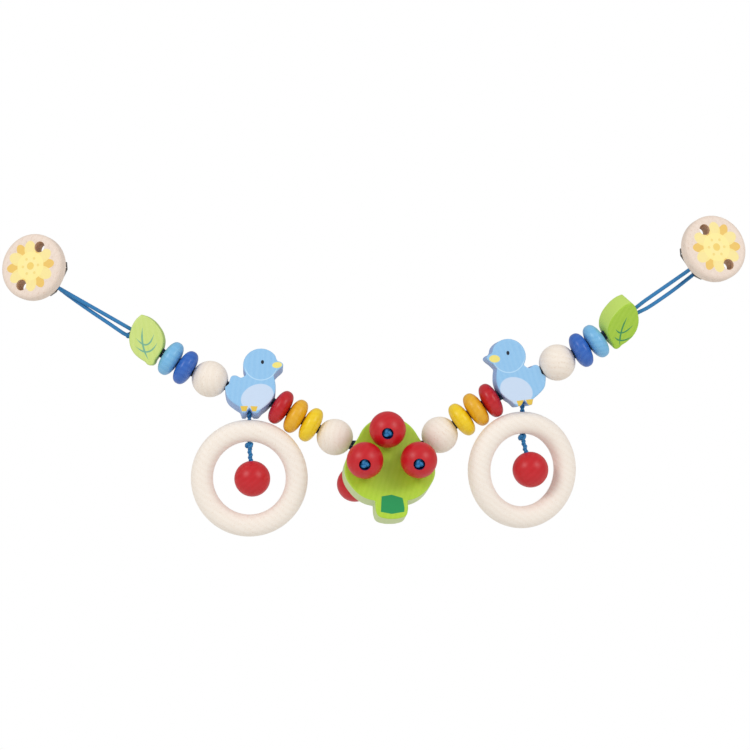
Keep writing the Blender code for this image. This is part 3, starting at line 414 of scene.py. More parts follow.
def bead_outline(diameter, thickness, bore, fullness, steps=40):
    """A bead's profile: sine to a power across and cosine to a power up, with eased bore mouths."""
    start = math.asin((bore / diameter) ** (1 / fullness))
    a = np.linspace(start, math.pi - start, steps)
    across = np.sin(a) ** fullness * diameter / 2
    up = np.sign(np.cos(a)) * np.abs(np.cos(a)) ** fullness * thickness / 2
    ease = 0.25
    top = [(bore / 2, up[0] - ease), (bore / 2 + ease * 0.3, up[0] - ease * 0.3)]
    low = [(bore / 2 + ease * 0.3, -up[0] + ease * 0.3), (bore / 2, -up[0] + ease)]
    return np.vstack([top, np.stack([across, up], axis=1)[1:-1], low])


def mark(piece, turn, middle, seed):
    """Writes each point's place in the piece's own frame, and in the log it was cut from, in mm."""
    count = len(piece.data.vertices)
    points = np.empty(count * 3, np.float32)
    piece.data.vertices.foreach_get("co", points)
    own = (points.reshape(-1, 3) - np.asarray(middle, np.float32)) @ turn * 1000
    chance = np.random.default_rng(seed)
    x, y, z = chance.uniform(-0.5, 0.5, 3)
    log, _ = np.linalg.qr(np.eye(3) + np.array([[0, -z, y], [z, 0, -x], [-y, x, 0]]))
    grain = own @ log + chance.uniform(-60, 60, 3)
    for name, values in (("own", own), ("grain", grain)):
        layer = piece.data.attributes.new(name, "FLOAT_VECTOR", "POINT")
        layer.data.foreach_set("vector", values.astype(np.float32).ravel())


def finish_wood(piece, body, cad_node, materials, sharp, cut, middle, seed):
    """Smooths a wooden piece up to a sharp angle, marks its grain, coats it and puts it in place."""
    smooth(piece, sharp)
    mark(piece, cut, middle, seed)
    for material in materials:
        piece.data.materials.append(material)
    finish_piece(piece, body, [cad_node])


def spun_bead(name, profile, materials, seed, cut=(0.0, 0.0, 1.0), up=1):
    """A bead turned about its own joint's axis, or against it. Returns it, its middle and its turn."""
    hung = joint[f"{name}_spin"]
    middle, turn = np.array(hung["pos_m"]), along(np.array(hung["axis"]) * up)
    bead = turned_shape(f"{name}_turned", profile, middle, turn)
    finish_wood(bead, name, name, materials, 50, turn @ along(cut), middle, seed)
    return bead, middle, turn


def wood_tones(tree, contrast=1.0):
    """Two grey patterns of a wood: its growth rings, and its fibres with the dashes across them."""
    grain = node(tree, "Attribute", attribute_name="grain").outputs["Vector"]
    wave = {"Vector": grain, "Scale": 0.11, "Distortion": 4.5, "Detail": 3.0, "Detail Scale": 0.45}
    rings = node(tree, "TexWave", wave).outputs["Fac"]
    fibres = noise(tree, stretched(tree, grain, (2.6, 2.6, 0.30)), Roughness=0.6)
    specks = noise(tree, stretched(tree, grain, (1.5, 2.8, 0.62)), detail=1.0)
    return rings, fibres, remap(tree, specks, 0.60, 0.70, 0.0, contrast)


def overlaid(tree, colour, *layers):
    """Colours laid over one another, each a (mask, how much of it, hex colour)."""
    for mask, share, over in layers:
        colour = tinted(tree, maths(tree, "MULTIPLY", mask, share), colour, over)
    return colour


def bare_wood(name, light, dark, dash):
    """Sanded beech with no finish: pale, matt, and rough to the touch across the fibres."""
    made, tree, shader = principled(name, Roughness=0.58, IOR=1.45)
    rings, fibres, dashes = wood_tones(tree, 0.35)
    colour = overlaid(tree, light, (rings, 0.24, dark), (fibres, 0.45, dark), (dashes, 1.0, dash))
    surface(tree, shader, colour, fibres, 0.25, 0.00012)
    return made


beech = bare_wood("sanded_beech", "#F4EBE0", "#E4D3C1", "#D6B79A")
string_bore = 5.6
ball_size = 19.9
ball_profile = bead_outline(ball_size, ball_size, string_bore, 1.0, 48)
for number, name in enumerate(("left_inner_ball", "left_outer_ball", "right_inner_ball", "right_outer_ball")):
    spun_bead(name, ball_profile, [beech], number + 3, cut=(1.0, 0.4, 0.3 + 0.2 * number))

# Lens beads. Thin beech beads with a full rim, dipped in coloured water-based lacquer; the satin
# film lets a little of the grain show and thins over the rim.


def lacquer(name, paint, deep, pale, roughness=0.36):
    """Satin lacquer on beech: the paint a little deeper in the pores and paler where it thins.

    Returns the material, its tree, its shader and the socket with the paint's colour.
    """
    made, tree, shader = principled(name, Roughness=roughness, IOR=1.48)
    rings, fibres, dashes = wood_tones(tree, 0.5)
    colour = overlaid(tree, paint, (fibres, 0.55, deep), (dashes, 0.5, deep), (rings, 0.18, pale))
    surface(tree, shader, colour, fibres, 0.22, 0.0001)
    return made, tree, shader, colour


lens_size, lens_thickness, lens_fullness = 19.8, 9.4, 0.82
lens_profile = bead_outline(lens_size, lens_thickness, string_bore, lens_fullness)
lens_paints = {
    "red_bead": ("red_lacquer", "#C60A1A", "#980812", "#D22E38"),
    "orange_bead": ("orange_lacquer", "#EAB01A", "#D4940E", "#F3C548"),
    "yellow_bead": ("yellow_lacquer", "#F3D010", "#DFB508", "#F7DF4C"),
    "dark_blue_bead": ("dark_blue_lacquer", "#2C66C0", "#2049A0", "#5186D2"),
    "light_blue_bead": ("light_blue_lacquer", "#78B8E2", "#5AA0D2", "#98CCEC"),
}
for number, (kind, (slot, *paint)) in enumerate(lens_paints.items()):
    coat = lacquer(f"satin_{slot}", *paint)[0]
    for side in ("left", "right"):
        spun_bead(f"{side}_{kind}", lens_profile, [coat], number * 2 + (side == "left") + 20)

# Leaves. Sawn from a 12 mm board, edges sanded round, dipped in green lacquer and printed with
# veins on both faces. The string runs through the leaf from edge to edge, below its tip.
board_thickness = 12.0
print_start = board_thickness / 2 - 0.6


def turned_by(axis, degrees):
    """A turn about an axis through the origin, by Rodrigues' formula."""
    x, y, z = unit(axis)
    k = np.array([[0, -z, y], [z, 0, -x], [-y, x, 0]])
    a = math.radians(degrees)
    return np.eye(3) + math.sin(a) * k + (1 - math.cos(a)) * k @ k


def flat_turn(rightward, side, lean, turn, roll):
    """How a flat piece hangs: leaned in its plane, turned about the upright, rolled on the string."""
    return turned_by(rightward, -roll) @ turned_by((0, 0, 1), turn) @ turned_by((0, 1, 0), side * lean)


def drawn_outline(points, spacing=0.33):
    """A closed outline through (across, up, is it a corner) points, in even steps.

    Between two points it is a cubic whose handles lie along the bisector at a smooth point and
    towards the neighbour at a corner.
    """
    p = np.array([(x, z) for x, z, _ in points], float)
    corner = np.array([c for _, _, c in points])[:, None]
    a, b = p - np.roll(p, 1, axis=0), np.roll(p, -1, axis=0) - p
    la, lb = (np.linalg.norm(v, axis=1)[:, None] for v in (a, b))
    bisector = a / la + b / lb
    span = np.linalg.norm(bisector, axis=1)[:, None] * 2.5614
    before = np.where(corner, p - a / 3, p - bisector * la / span)
    after = np.where(corner, p + b / 3, p + bisector * lb / span)
    t = (np.arange(24) / 24)[None, :, None]
    here, there = p[:, None], np.roll(p, -1, axis=0)[:, None]
    out, back = after[:, None], np.roll(before, -1, axis=0)[:, None]
    curve = (1 - t) ** 3 * here + 3 * (1 - t) ** 2 * t * out + 3 * (1 - t) * t**2 * back + t**3 * there
    loop = curve.reshape(-1, 2)
    closed = np.vstack([loop, loop[:1]])
    gone = gone_along(closed)
    even = np.arange(0, gone[-1], gone[-1] / round(gone[-1] / spacing))
    return np.stack([np.interp(even, gone, closed[:, k]) for k in (0, 1)], axis=1)


def board_shape(name, outline, edge, middle, turn):
    """A board of an outline, its two rims rounded to a quarter circle, faces at -Y and +Y.

    Each face is a Delaunay triangulation of rings of points at set distances inside the outline. A
    ring's point that lies nearer than that to another stretch of the outline is left out.
    """
    rim = drawn_outline(outline)
    for _ in range(3):
        rim = 0.6 * rim + 0.2 * (np.roll(rim, 1, axis=0) + np.roll(rim, -1, axis=0))
    flow = np.roll(rim, -1, axis=0) - np.roll(rim, 1, axis=0)
    area = np.sum(rim[:, 0] * np.roll(rim[:, 1], -1) - np.roll(rim[:, 0], -1) * rim[:, 1])
    inward = unit(np.stack([-flow[:, 1], flow[:, 0]], axis=1) * np.sign(area))
    top = board_thickness / 2
    flat, high = [rim], [np.full(len(rim), top - edge)]
    arcs = np.radians((18, 36, 54, 72, 90, 90))
    depths = [*(edge * (1 - np.cos(arcs[:5]))), edge + 0.5]
    for arc, depth in zip(arcs, depths):
        ring = rim + inward * depth
        near = np.linalg.norm(ring[:, None] - rim[None], axis=2).min(axis=1)
        ring = ring[near > depth * 0.97]
        flat.append(ring)
        high.append(np.full(len(ring), top - edge * (1 - math.sin(arc))))
    flat, high = np.vstack(flat), np.concatenate(high)
    outer = list(range(len(rim)))
    _, _, corners, source, _, _ = delaunay_2d_cdt([Vector(p) for p in flat.tolist()], [], [outer], 1, 1e-7)
    triangles = [[source[i][0] for i in corner] for corner in corners]
    count = len(flat)
    faces = triangles + [[i + count for i in triangle[::-1]] for triangle in triangles]
    faces += [[i, j, j + count, i + count] for i, j in zip(outer, outer[1:] + outer[:1])]
    rows = [np.stack([flat[:, 0], sign * high, flat[:, 1]], axis=1) for sign in (-1, 1)]
    return shape(name, np.vstack(rows) / 1000 @ turn.T + middle, faces)


def drill(piece, start, end, diameter, sides=32):
    """Bores a round hole between two points, and keeps the result as the piece's mesh."""
    start, end = np.asarray(start, float), np.asarray(end, float)
    turn = along(end - start)
    ring = np.arange(sides) / sides * math.tau
    circle = np.stack([np.cos(ring), np.sin(ring), 0 * ring], axis=1) * diameter / 2000
    points = np.vstack([circle @ turn.T + start, circle @ turn.T + end])
    faces = grid_quads(2, sides, False).tolist() + [list(range(sides)), list(range(sides, 2 * sides))[::-1]]
    bit = shape("drill_bit", points, faces)
    step = piece.modifiers.new("bore", "BOOLEAN")
    step.operation, step.solver, step.object = "DIFFERENCE", "EXACT", bit
    graph = bpy.context.evaluated_depsgraph_get()
    mesh = bpy.data.meshes.new_from_object(piece.evaluated_get(graph))
    piece.modifiers.clear()
    piece.data = mesh
    bpy.data.objects.remove(bit)


def strung_board(name, hung, sign, outline, pose, edge, inner_reach, outer_reach):
    """A board hung on the string by a joint, its outline mirrored on the right, bored for the string.

    Returns it with its middle and its turn.
    """
    rightward, middle = np.array(hung["axis"]), np.array(hung["pos_m"])
    turn = flat_turn(rightward, sign, *pose)
    faced = outline if sign < 0 else [(-x, z, c) for x, z, c in outline[::-1]]
    board = board_shape(name, faced, edge, middle, turn)
    out = rightward * sign
    drill(board, middle - out * inner_reach, middle + out * outer_reach, string_bore)
    return board, middle, turn


def own_place(tree):
    return node(tree, "Attribute", attribute_name="own").outputs["Vector"]


def ellipse_print(tree, own, centre, radii, degrees=0.0, soft=0.03):
    """1 inside an ellipse of the board's face and 0 outside it."""
    placing = {
        "Vector": own,
        "Location": (centre[0], 0.0, centre[1]),
        "Rotation": (0.0, math.radians(-degrees), 0.0),
        "Scale": (radii[0], 1e6, radii[1]),
    }
    placed = node(tree, "Mapping", placing, vector_type="TEXTURE").outputs[0]
    return remap(tree, vector_length(tree, placed), 1 - soft, 1 + soft, 1.0, 0.0)


def curve_print(tree, own, points, width, upright=False):
    """1 along a thin stroke on the parabola through three points, which fades out at its ends."""
    points = np.array(points, float)
    u, v = (points[:, 1], points[:, 0]) if upright else (points[:, 0], points[:, 1])
    c, b, a = np.polyfit(u, v, 2)
    parts = node(tree, "SeparateXYZ", {0: own}).outputs
    run, off = (parts["Z"], parts["X"]) if upright else (parts["X"], parts["Z"])
    line = maths(tree, "MULTIPLY_ADD", maths(tree, "MULTIPLY_ADD", run, c, b), run, a)
    gap = maths(tree, "ABSOLUTE", maths(tree, "SUBTRACT", off, line))
    slope = maths(tree, "MULTIPLY_ADD", run, 2 * c, b)
    steep = maths(tree, "SQRT", maths(tree, "MULTIPLY_ADD", slope, slope, 1.0))
    gap = maths(tree, "DIVIDE", gap, steep)
    low, high = u.min(), u.max()
    off_middle = maths(tree, "ABSOLUTE", maths(tree, "SUBTRACT", run, (low + high) / 2))
    taper = remap(tree, off_middle, (high - low) * 0.25, (high - low) / 2, width / 2, 0.0)
    return remap(tree, maths(tree, "SUBTRACT", taper, gap), -0.02, 0.04)


def combined(tree, values, operation):
    """Several masks as one, by a maths operation."""
    total = values[0]
    for value in values[1:]:
        total = maths(tree, operation, total, value)
    return total


def printed(tree, shader, colour, inks, side_tone):
    """Lays inks over the paint on the board's faces, each a (function that makes a mask, hex colour).

    The sawn sides take a tone of their own; the birds' darker blue sides are painted shade.
    """
    own = own_place(tree)
    depth = maths(tree, "ABSOLUTE", node(tree, "SeparateXYZ", {0: own}).outputs["Y"])
    face = remap(tree, depth, print_start, print_start + 0.1)
    colour = tinted(tree, face, side_tone, colour)
    for make_mask, ink in inks:
        colour = tinted(tree, maths(tree, "MULTIPLY", make_mask(tree, own), face), colour, ink)
    tree.links.new(colour, shader.inputs["Base Color"])


leaf_length, leaf_width, leaf_bore_reach = 28.0, 18.5, 0.0125
leaf_half = [
    (0.0, 0.575, True), (0.20, 0.49, False), (0.40, 0.31, False), (0.50, 0.09, False), (0.45, -0.11, False),
    (0.28, -0.27, False), (0.15, -0.35, False), (0.10, -0.405, False), (0.0, -0.435, False),
]
leaf_outline = [(x * leaf_width, z * leaf_length, c) for x, z, c in leaf_half]
leaf_outline += [(-x, z, c) for x, z, c in leaf_outline[-2:0:-1]]
leaf_poses = {"left": (10.6, 0, 0), "right": (10, 0, -34)}
# The left leaf's paint and vein ink are paler than the right's: a painted sheen, the lamp's reflection on its face
# painted into its colour.
leaf_paint_and_painted_sheen = {"left": ("#CBDD80", "#BBD068", "#D8E698"), "right": ("#A9CF3A", "#8FBA28", "#BEDC58")}
leaf_sides = {"left": "#B2CF5C", "right": "#BCD962"}
vein_ink_and_painted_sheen = {"left": "#78B090", "right": "#3F9152"}
leaf_veins = {
    "left": (
        [(-0.5, 9.2), (-2.2, -0.1), (-0.6, -9.3)],
        [(-5.4, 4.3), (-1.9, -0.2), (5.1, 4.8)],
        [(-6.5, -0.1), (-1.8, -4.3), (5.9, -0.4)],
    ),
    "right": (
        [(0.4, 7.8), (-0.4, -2.0), (1.5, -10.0)],
        [(-4.6, 0.0), (-0.8, -2.1), (5.8, 3.6)],
        [(-4.1, -4.5), (0.2, -6.5), (7.6, -3.0)],
    ),
}


def vein_print(midrib, *branches):
    """A mask for a leaf's veins: one stroke up its middle and one for each pair of branches."""

    def mask(tree, own):
        marks = [curve_print(tree, own, midrib, 1.0, upright=True)]
        marks += [curve_print(tree, own, branch, 0.9) for branch in branches]
        return combined(tree, marks, "MAXIMUM")

    return mask


for side, sign in (("left", -1), ("right", 1)):
    name = f"{side}_leaf"
    leaf, middle, turn = strung_board(
        f"{name}_board", joint[f"{name}_spin"], sign, leaf_outline, leaf_poses[side], 1.0,
        leaf_bore_reach, leaf_bore_reach,
    )
    # The left leaf's material carries its painted sheen; the right leaf's is the paint itself.
    coat, tree, shader, colour = lacquer(f"satin_leaf_green_{side}", *leaf_paint_and_painted_sheen[side], roughness=0.42)
    printed(tree, shader, colour, [(vein_print(*leaf_veins[side]), vein_ink_and_painted_sheen[side])], leaf_sides[side])
    finish_wood(leaf, name, name, [coat], 40, turn, middle, seed=40 + sign)

# Birds. Sawn from the same board, dipped in light blue and printed: a pale belly, a yellow beak
# and feet, a dark eye and a thin pale line under the head. The notch between the feet holds a cord.
bird_length, bird_height, head_radius = 33.0, 37.5, 9.7
bird_bore_inner_reach, bird_bore_outer_reach = 0.0160, 0.0175
head_centre = (0.156 * bird_length, 0.406 * bird_height)
head_turn = np.radians(np.linspace(214, 14, 9))
bird_outline = [
    (head_centre[0] + head_radius * math.cos(a), head_centre[1] + head_radius * math.sin(a), i == 0)
    for i, a in enumerate(head_turn)
]
notch = (-0.033, -0.245)
bird_rest = [
    (0.455, 0.467, False), (0.505, 0.447, False), (0.527, 0.415, False), (0.505, 0.378, False),
    (0.43, 0.315, False), (0.368, 0.25, True), (0.392, 0.15, False), (0.398, 0.03, False),
    (0.352, -0.10, False), (0.27, -0.19, False), (0.17, -0.262, True), (0.115, -0.325, True),
    (0.035, -0.325, True), (*notch, True), (-0.095, -0.325, True), (-0.155, -0.325, True),
    (-0.185, -0.24, True), (-0.30, -0.17, False), (-0.395, -0.085, False), (-0.425, 0.0, False),
    (-0.436, 0.072, True), (-0.372, 0.115, True), (-0.358, 0.18, False), (-0.325, 0.238, False),
    (-0.255, 0.248, False), (-0.17, 0.215, False),
]
bird_outline += [(x * bird_length, z * bird_height, c) for x, z, c in bird_rest]
bird_poses = {"left": (0, -3, 20), "right": (-6, 10, 5)}


def throat_line(sign):
    """A mask for the pale curve under the head: a thin part of a circle, on its lower side only."""

    def mask(tree, own):
        centre = (sign * head_centre[0], head_centre[1] + 0.2)
        rim = ellipse_print(tree, own, centre, (9.15, 9.15), soft=0.012)
        core = ellipse_print(tree, own, centre, (8.65, 8.65), soft=0.012)
        height = node(tree, "SeparateXYZ", {0: own}).outputs["Z"]
        low = remap(tree, height, 11.5, 14.0, 1.0, 0.0)
        return maths(tree, "MULTIPLY", maths(tree, "SUBTRACT", rim, core), low)

    return mask


def spot(sign, centre, radii, degrees=0.0, soft=0.03):
    """A mask for an ellipse of the bird that faces right, mirrored for the one that faces left."""
    faced = (sign * centre[0], centre[1])
    return lambda tree, own: ellipse_print(tree, own, faced, radii, sign * degrees, soft)


def polygon_print(points):
    """A mask: 1 inside a polygon whose corners all bulge outwards, below zero on each of its sides."""

    def mask(tree, own):
        corners = np.array(points)
        middle = corners.mean(axis=0)
        sides = []
        for start, end in zip(corners, np.roll(corners, -1, axis=0)):
            normal = unit([end[1] - start[1], start[0] - end[0]])
            normal *= np.sign(normal @ (start - middle))
            out = node(tree, "VectorMath", {0: own, 1: (normal[0], 0.0, normal[1])}, operation="DOT_PRODUCT")
            sides.append(maths(tree, "SUBTRACT", out.outputs["Value"], float(normal @ start)))
        return remap(tree, combined(tree, sides, "MAXIMUM"), -0.06, 0.06, 1.0, 0.0)

    return mask


bird_prints = {
    "left": {"belly": (3.2, -3.3), "eye": (6.0, 16.9), "beak": (14.0, 15.2), "feet": -9.9},
    "right": {"belly": (2.9, -3.7), "eye": (5.3, 17.2), "beak": (13.0, 14.7), "feet": -10.6},
}
belly_radii, eye_radii, beak_radii = (9.25, 7.1), (0.85, 1.15), {"left": (2.7, 1.75), "right": (3.0, 2.05)}
foot_shapes = {
    -3.9: [(-2.1, 1.5), (2.1, 1.5), (1.2, -1.5), (-1.2, -1.5)],
    1.4: [(-2.0, 1.5), (2.0, 1.3), (1.2, -1.6), (-0.9, -1.5)],
}
notch_bore, notch_bore_drop, notch_bore_rise = 3.8, 0.002, 0.0024
for side, sign in (("left", -1), ("right", 1)):
    name = f"{side}_bird"
    bird, middle, turn = strung_board(
        f"{name}_board", joint[f"{name}_swing"], sign, bird_outline, bird_poses[side], 0.8,
        bird_bore_inner_reach, bird_bore_outer_reach,
    )
    facing, prints = -sign, bird_prints[side]
    foot = middle + turn @ (np.array([facing * notch[0] * bird_length, 0.0, notch[1] * bird_height]) / 1000)
    drill(bird, foot - (0, 0, notch_bore_drop), foot + (0, 0, notch_bore_rise), notch_bore)
    paint = ("#93C5EB", "#7FB2E0", "#A6D0F0")
    coat, tree, shader, colour = lacquer(f"satin_bird_blue_{side}", *paint, roughness=0.42)
    inks = [
        (throat_line(facing), "#B4D8F3"),
        (spot(facing, prints["belly"], belly_radii, 27), "#C5D7EE"),
        (spot(facing, prints["beak"], beak_radii[side], 8), "#EDDF7C"),
        (spot(facing, prints["eye"], eye_radii, 0, 0.08), "#141B2A"),
    ]
    for across, corners in foot_shapes.items():
        foot_print = [(facing * (across + x), prints["feet"] + z) for x, z in corners]
        inks.append((polygon_print(foot_print), "#E2BF4A"))
    # The bird's sides are painted a darker blue than its face: painted shade.
    printed(tree, shader, colour, inks, "#8DACDD")
    finish_wood(bird, name, name, [coat], 40, turn, middle, seed=50 + sign)

# Tree. A crown and trunk sawn in one from the same board, dipped in light green, with a dark
# green patch printed on the trunk. It hangs on the string by its upper part and tips forwards.
tree_width, tree_height, trunk_width, tree_offset = 49.8, 58.0, 17.8, -0.3
crown_half = [
    (0.0, 0.262, False), (0.085, 0.251, False), (0.197, 0.199, False), (0.272, 0.139, False),
    (0.342, 0.038, False), (0.413, -0.06, False), (0.480, -0.172, False), (0.50, -0.259, False),
    (0.487, -0.340, False), (0.437, -0.420, False), (0.362, -0.495, False), (0.262, -0.548, False),
]
trunk_half = [
    (0.50, -0.567, True), (0.495, -0.655, False), (0.425, -0.710, False), (0.22, -0.736, False),
    (0.0, -0.742, False),
]
half = [(x * tree_width, z * tree_height, c) for x, z, c in crown_half]
half += [(x * trunk_width, z * tree_height, c) for x, z, c in trunk_half]
tree_outline = [(x + tree_offset, z, c) for x, z, c in half]
tree_outline += [(-x + tree_offset, z, c) for x, z, c in half[-2:0:-1]]
tree_middle = np.array(joint["tree_swing"]["pos_m"])
tree_turn = flat_turn((1.0, 0.0, 0.0), 1, -2.5, 7, 19)


def tree_point(across, deep, up):
    """A place in the tree's own millimetres, as a place in the room."""
    return tree_middle + tree_turn @ (np.array([across, deep, up]) / 1000)


crown = board_shape("tree_board", tree_outline, 1.0, tree_middle, tree_turn)
tree_bore_reach = 0.0255
drill(crown, tree_middle - (tree_bore_reach, 0, 0), tree_middle + (tree_bore_reach, 0, 0), string_bore)
cord_hole = 3.2
berry_holes = {"top": (-2.1, 10.8), "left": (-15.1, -6.4), "right": (14.1, -6.4)}
for across, up in berry_holes.values():
    drill(crown, tree_point(across, -8.0, up), tree_point(across, 8.0, up), cord_hole)
coat, tree, shader, colour = lacquer("satin_tree_green", "#B2D632", "#9CC426", "#C4E04E", roughness=0.42)
patch = [(-5.6, -30.5), (-0.1, -29.6), (5.8, -31.5), (6.6, -36.9), (6.4, -39.2), (-0.5, -40.3), (-6.4, -39.1)]
printed(tree, shader, colour, [(polygon_print(patch), "#0F9450")], "#C3D294")
finish_wood(crown, "tree", "tree", [coat], 40, tree_turn, tree_middle, seed=61)

# Berries. Turned beech balls in red lacquer, threaded in pairs on a short elastic through the
# tree. Each has a wider socket at its outer end, painted dark navy inside as painted shade, where the elastic's
# knot sits.
berry_size, socket_size, socket_depth = 19.8, 6.2, 4.2
berry_red = lacquer("satin_berry_red", "#CB0B1A", "#A80A15", "#D22C38", roughness=0.40)[0]
# The socket's inside: painted shade in dark navy, where the knot shades the hole.
socket_painted_shade, tree, shader = principled("socket_wood_painted_shade", Roughness=0.7, IOR=1.45)
tree.links.new(tinted(tree, wood_tones(tree)[1], "#0B1B52", "#1B2C70"), shader.inputs["Base Color"])


def socketed_outline():
    """A ball from its socket's rim round to the cord's hole, up the hole and out over the floor."""
    radius, rim = berry_size / 2, 0.25
    start, end = math.asin((socket_size + rim) / berry_size), math.pi - math.asin(cord_hole / berry_size)
    a = np.linspace(start, end, 44)
    outer = np.stack([np.sin(a), np.cos(a)], axis=1) * radius
    top = math.sqrt(radius**2 - (socket_size / 2) ** 2)
    floor_height = top - socket_depth
    lip = [(socket_size / 2, top - rim)]
    inner = [(cord_hole / 2, floor_height), (socket_size / 2, floor_height), (socket_size / 2, top - rim * 2)]
    return np.vstack([lip, outer, inner]), floor_height


def in_socket(piece, middle, turn, floor_height):
    """Gives the second material to the faces inside the socket."""
    for face in piece.data.polygons:
        own = (np.array(face.center) - middle) @ turn * 1000
        inside = math.hypot(own[0], own[1]) < socket_size / 2 + 0.05 and own[2] > floor_height - 0.1
        face.material_index = int(inside)


berry_profile, floor_height = socketed_outline()
radius, floor_up = berry_size / 2000, floor_height / 1000
knot_up, berry_knot_size = 0.0019, (0.0035, 0.0016, 0.00098)
cord_depths = (-board_thickness / 2, board_thickness / 2, 8.7)
for number, (name, (across, up)) in enumerate(berry_holes.items()):
    places = []
    for end in ("front", "rear"):
        piece, seed = f"{name}_{end}_berry", 70 + number * 2 + (end == "rear")
        coats = [berry_red, socket_painted_shade]
        berry, middle, turn = spun_bead(piece, berry_profile, coats, seed, cut=(0.8, 0.3, 0.5))
        in_socket(berry, middle, turn, floor_height)
        places.append((middle, np.array(joint[f"{piece}_spin"]["axis"])))
    (front, way), (rear, rear_way) = places
    line = [front + way * floor_up, front - way * radius]
    line += [tree_point(across, deep, up) for deep in cord_depths]
    line += [rear - rear_way * radius, rear + rear_way * floor_up]
    bent = np.vstack([np.linspace(a, b, 6)[:-1] for a, b in zip(line, line[1:])] + [line[-1:]])
    runs = [(bent, cord_diameter / 2, False)]
    runs += [knot_run(middle + way * (floor_up + knot_up), way, *berry_knot_size) for middle, way in places]
    cord_piece(f"{name}_berry_elastic", f"{name}_berry_cord", f"{name}_berry_cord", runs)

# Rings. A bare beech ring under each bird, turned round in section and drilled through at the top
# for the cord, which is knotted inside it and goes on to a red ball.
ring_outer, ring_inner, ring_thickness, ring_fullness = 63.7, 39.7, 12.0, 0.9
ring_wood = bare_wood("sanded_beech_ring", "#F5EDE4", "#E9DACA", "#DBBFA4")
ring_turns = {"left": 0, "right": 21}


def fuller(wave):
    return np.sign(wave) * np.abs(wave) ** ring_fullness


a = np.linspace(0, math.tau, 48, endpoint=False)
across = (ring_outer + ring_inner) / 4 + (ring_outer - ring_inner) / 4 * fuller(np.cos(a))
ring_profile = np.stack([across, ring_thickness / 2 * fuller(np.sin(a))], axis=1)
for side, sign in (("left", -1), ("right", 1)):
    name = f"{side}_ring"
    top = np.array(joint[f"{name}_twist"]["pos_m"])
    centre = top - (0.0, 0.0, ring_outer / 2000)
    turn = turned_by((0, 0, 1), ring_turns[side]) @ turned_by((1, 0, 0), 90)
    ring = turned_shape(f"{name}_turned", ring_profile, centre, turn, sides=180)
    drill(ring, top + (0, 0, 0.002), top - (0, 0, 0.014), cord_hole)
    cut = turn @ turned_by((0, 0, 1), 35)
    finish_wood(ring, name, name, [ring_wood], 50, cut, centre, seed=80 + sign)

# Hanging cords and drop balls. The elastic comes out of the bird's notch as two strands twisted
# together, is knotted under the ring's inner edge, and ends in a blind hole in a red ball.
drop_size, drop_depth = 19.6, 4.0
strand_radius = 0.00066


def twisted_pair(path, apart, pitch):
    """Two strands wound round each other along a path: each circles it once in every pitch."""
    ahead = unit(np.gradient(path, axis=0))
    right = unit(np.cross(ahead, (0.0, 1.0, 0.0)))
    up = np.cross(ahead, right)
    turn = gone_along(path) / pitch * math.tau
    swing = (right * np.cos(turn)[:, None] + up * np.sin(turn)[:, None]) * apart
    return [(path + swing, strand_radius, False), (path - swing, strand_radius, False)]


def blind_outline():
    """A ball from the floor of its blind hole, up the hole, and round to its foot."""
    radius, rim = drop_size / 2, 0.2
    start = math.asin((cord_hole + rim) / drop_size)
    a = np.linspace(start, math.pi, 46)
    outer = np.stack([np.sin(a), np.cos(a)], axis=1) * radius
    outer[-1, 0] = 0.0
    top = math.sqrt(radius**2 - (cord_hole / 2) ** 2)
    inner = [(0.0, top - drop_depth), (cord_hole / 2, top - drop_depth), (cord_hole / 2, top - rim)]
    return np.vstack([inner, outer])


drop_knot_size = (0.0034, 0.0016, 0.00085)
crimp_waves, crimp_sway = 3.2, (0.00022, 0.0, 0.0)
for side, sign in (("left", -1), ("right", 1)):
    name, profile = f"{side}_drop_ball", blind_outline()
    middle = spun_bead(name, profile, [berry_red], 90 + sign, cut=(0.5, 0.2, 0.7), up=-1)[1]

    sway = np.array(joint[f"{name}_spin"]["axis"])
    knot_middle = np.array(joint[f"{side}_drop_swing_sideways"]["pos_m"])
    low = middle - sway * (drop_size / 2 - drop_depth + 0.3) / 1000
    line = np.linspace(knot_middle + sway * 0.0008, low, 40)
    crimp = np.sin(np.linspace(0, crimp_waves * math.tau, 40))[:, None] * crimp_sway
    pair = twisted_pair(line + crimp, apart=0.00062, pitch=0.0031)
    cord_piece(f"{side}_drop_elastic", f"{side}_drop_cord", f"{side}_drop_cord", pair)

    tied = knot_run(knot_middle, sway, *drop_knot_size)
    cord_piece(f"{side}_drop_knot_tied", f"{side}_drop_knot", f"{side}_drop_knot", [tied])

    pivot = np.array(joint[f"{side}_hanger_swing"]["pos_m"])
    line = np.linspace(pivot + (0, 0, 0.0009), knot_middle + (0, 0, 0.0012), 60)
    pair = twisted_pair(line, apart=0.00068, pitch=0.0052)
    cord_piece(f"{side}_hanger_elastic", f"{side}_hanger", f"{side}_hanger_cord", pair)

# Clip discs. Turned beech, one face printed with a plain rosette in two yellows, with two holes
# through for air. The metal clip is riveted to the back.
disc_size, disc_thickness, disc_rim, vent_size, vent_spacing = 36.5, 8.0, 2.4, 6.0, 23.0
pin_reach, pin_back = 11.2, 12.4
disc_wood, tree, shader = principled("printed_beech_disc", Roughness=0.5, IOR=1.45)
rings, fibres, dashes = wood_tones(tree, 0.4)
layers = (rings, 0.25, "#DDC8B7"), (fibres, 0.5, "#D8C1B0"), (dashes, 1.0, "#CFAF97")
colour = overlaid(tree, "#EBDBCE", *layers)
own = own_place(tree)
parts = node(tree, "SeparateXYZ", {0: own}).outputs
front = remap(tree, parts["Y"], -3.3, -3.4)
far = vector_length(tree, stretched(tree, own, (1.0, 0.0, 1.0)))
bearing = maths(tree, "ARCTAN2", parts["Z"], parts["X"])


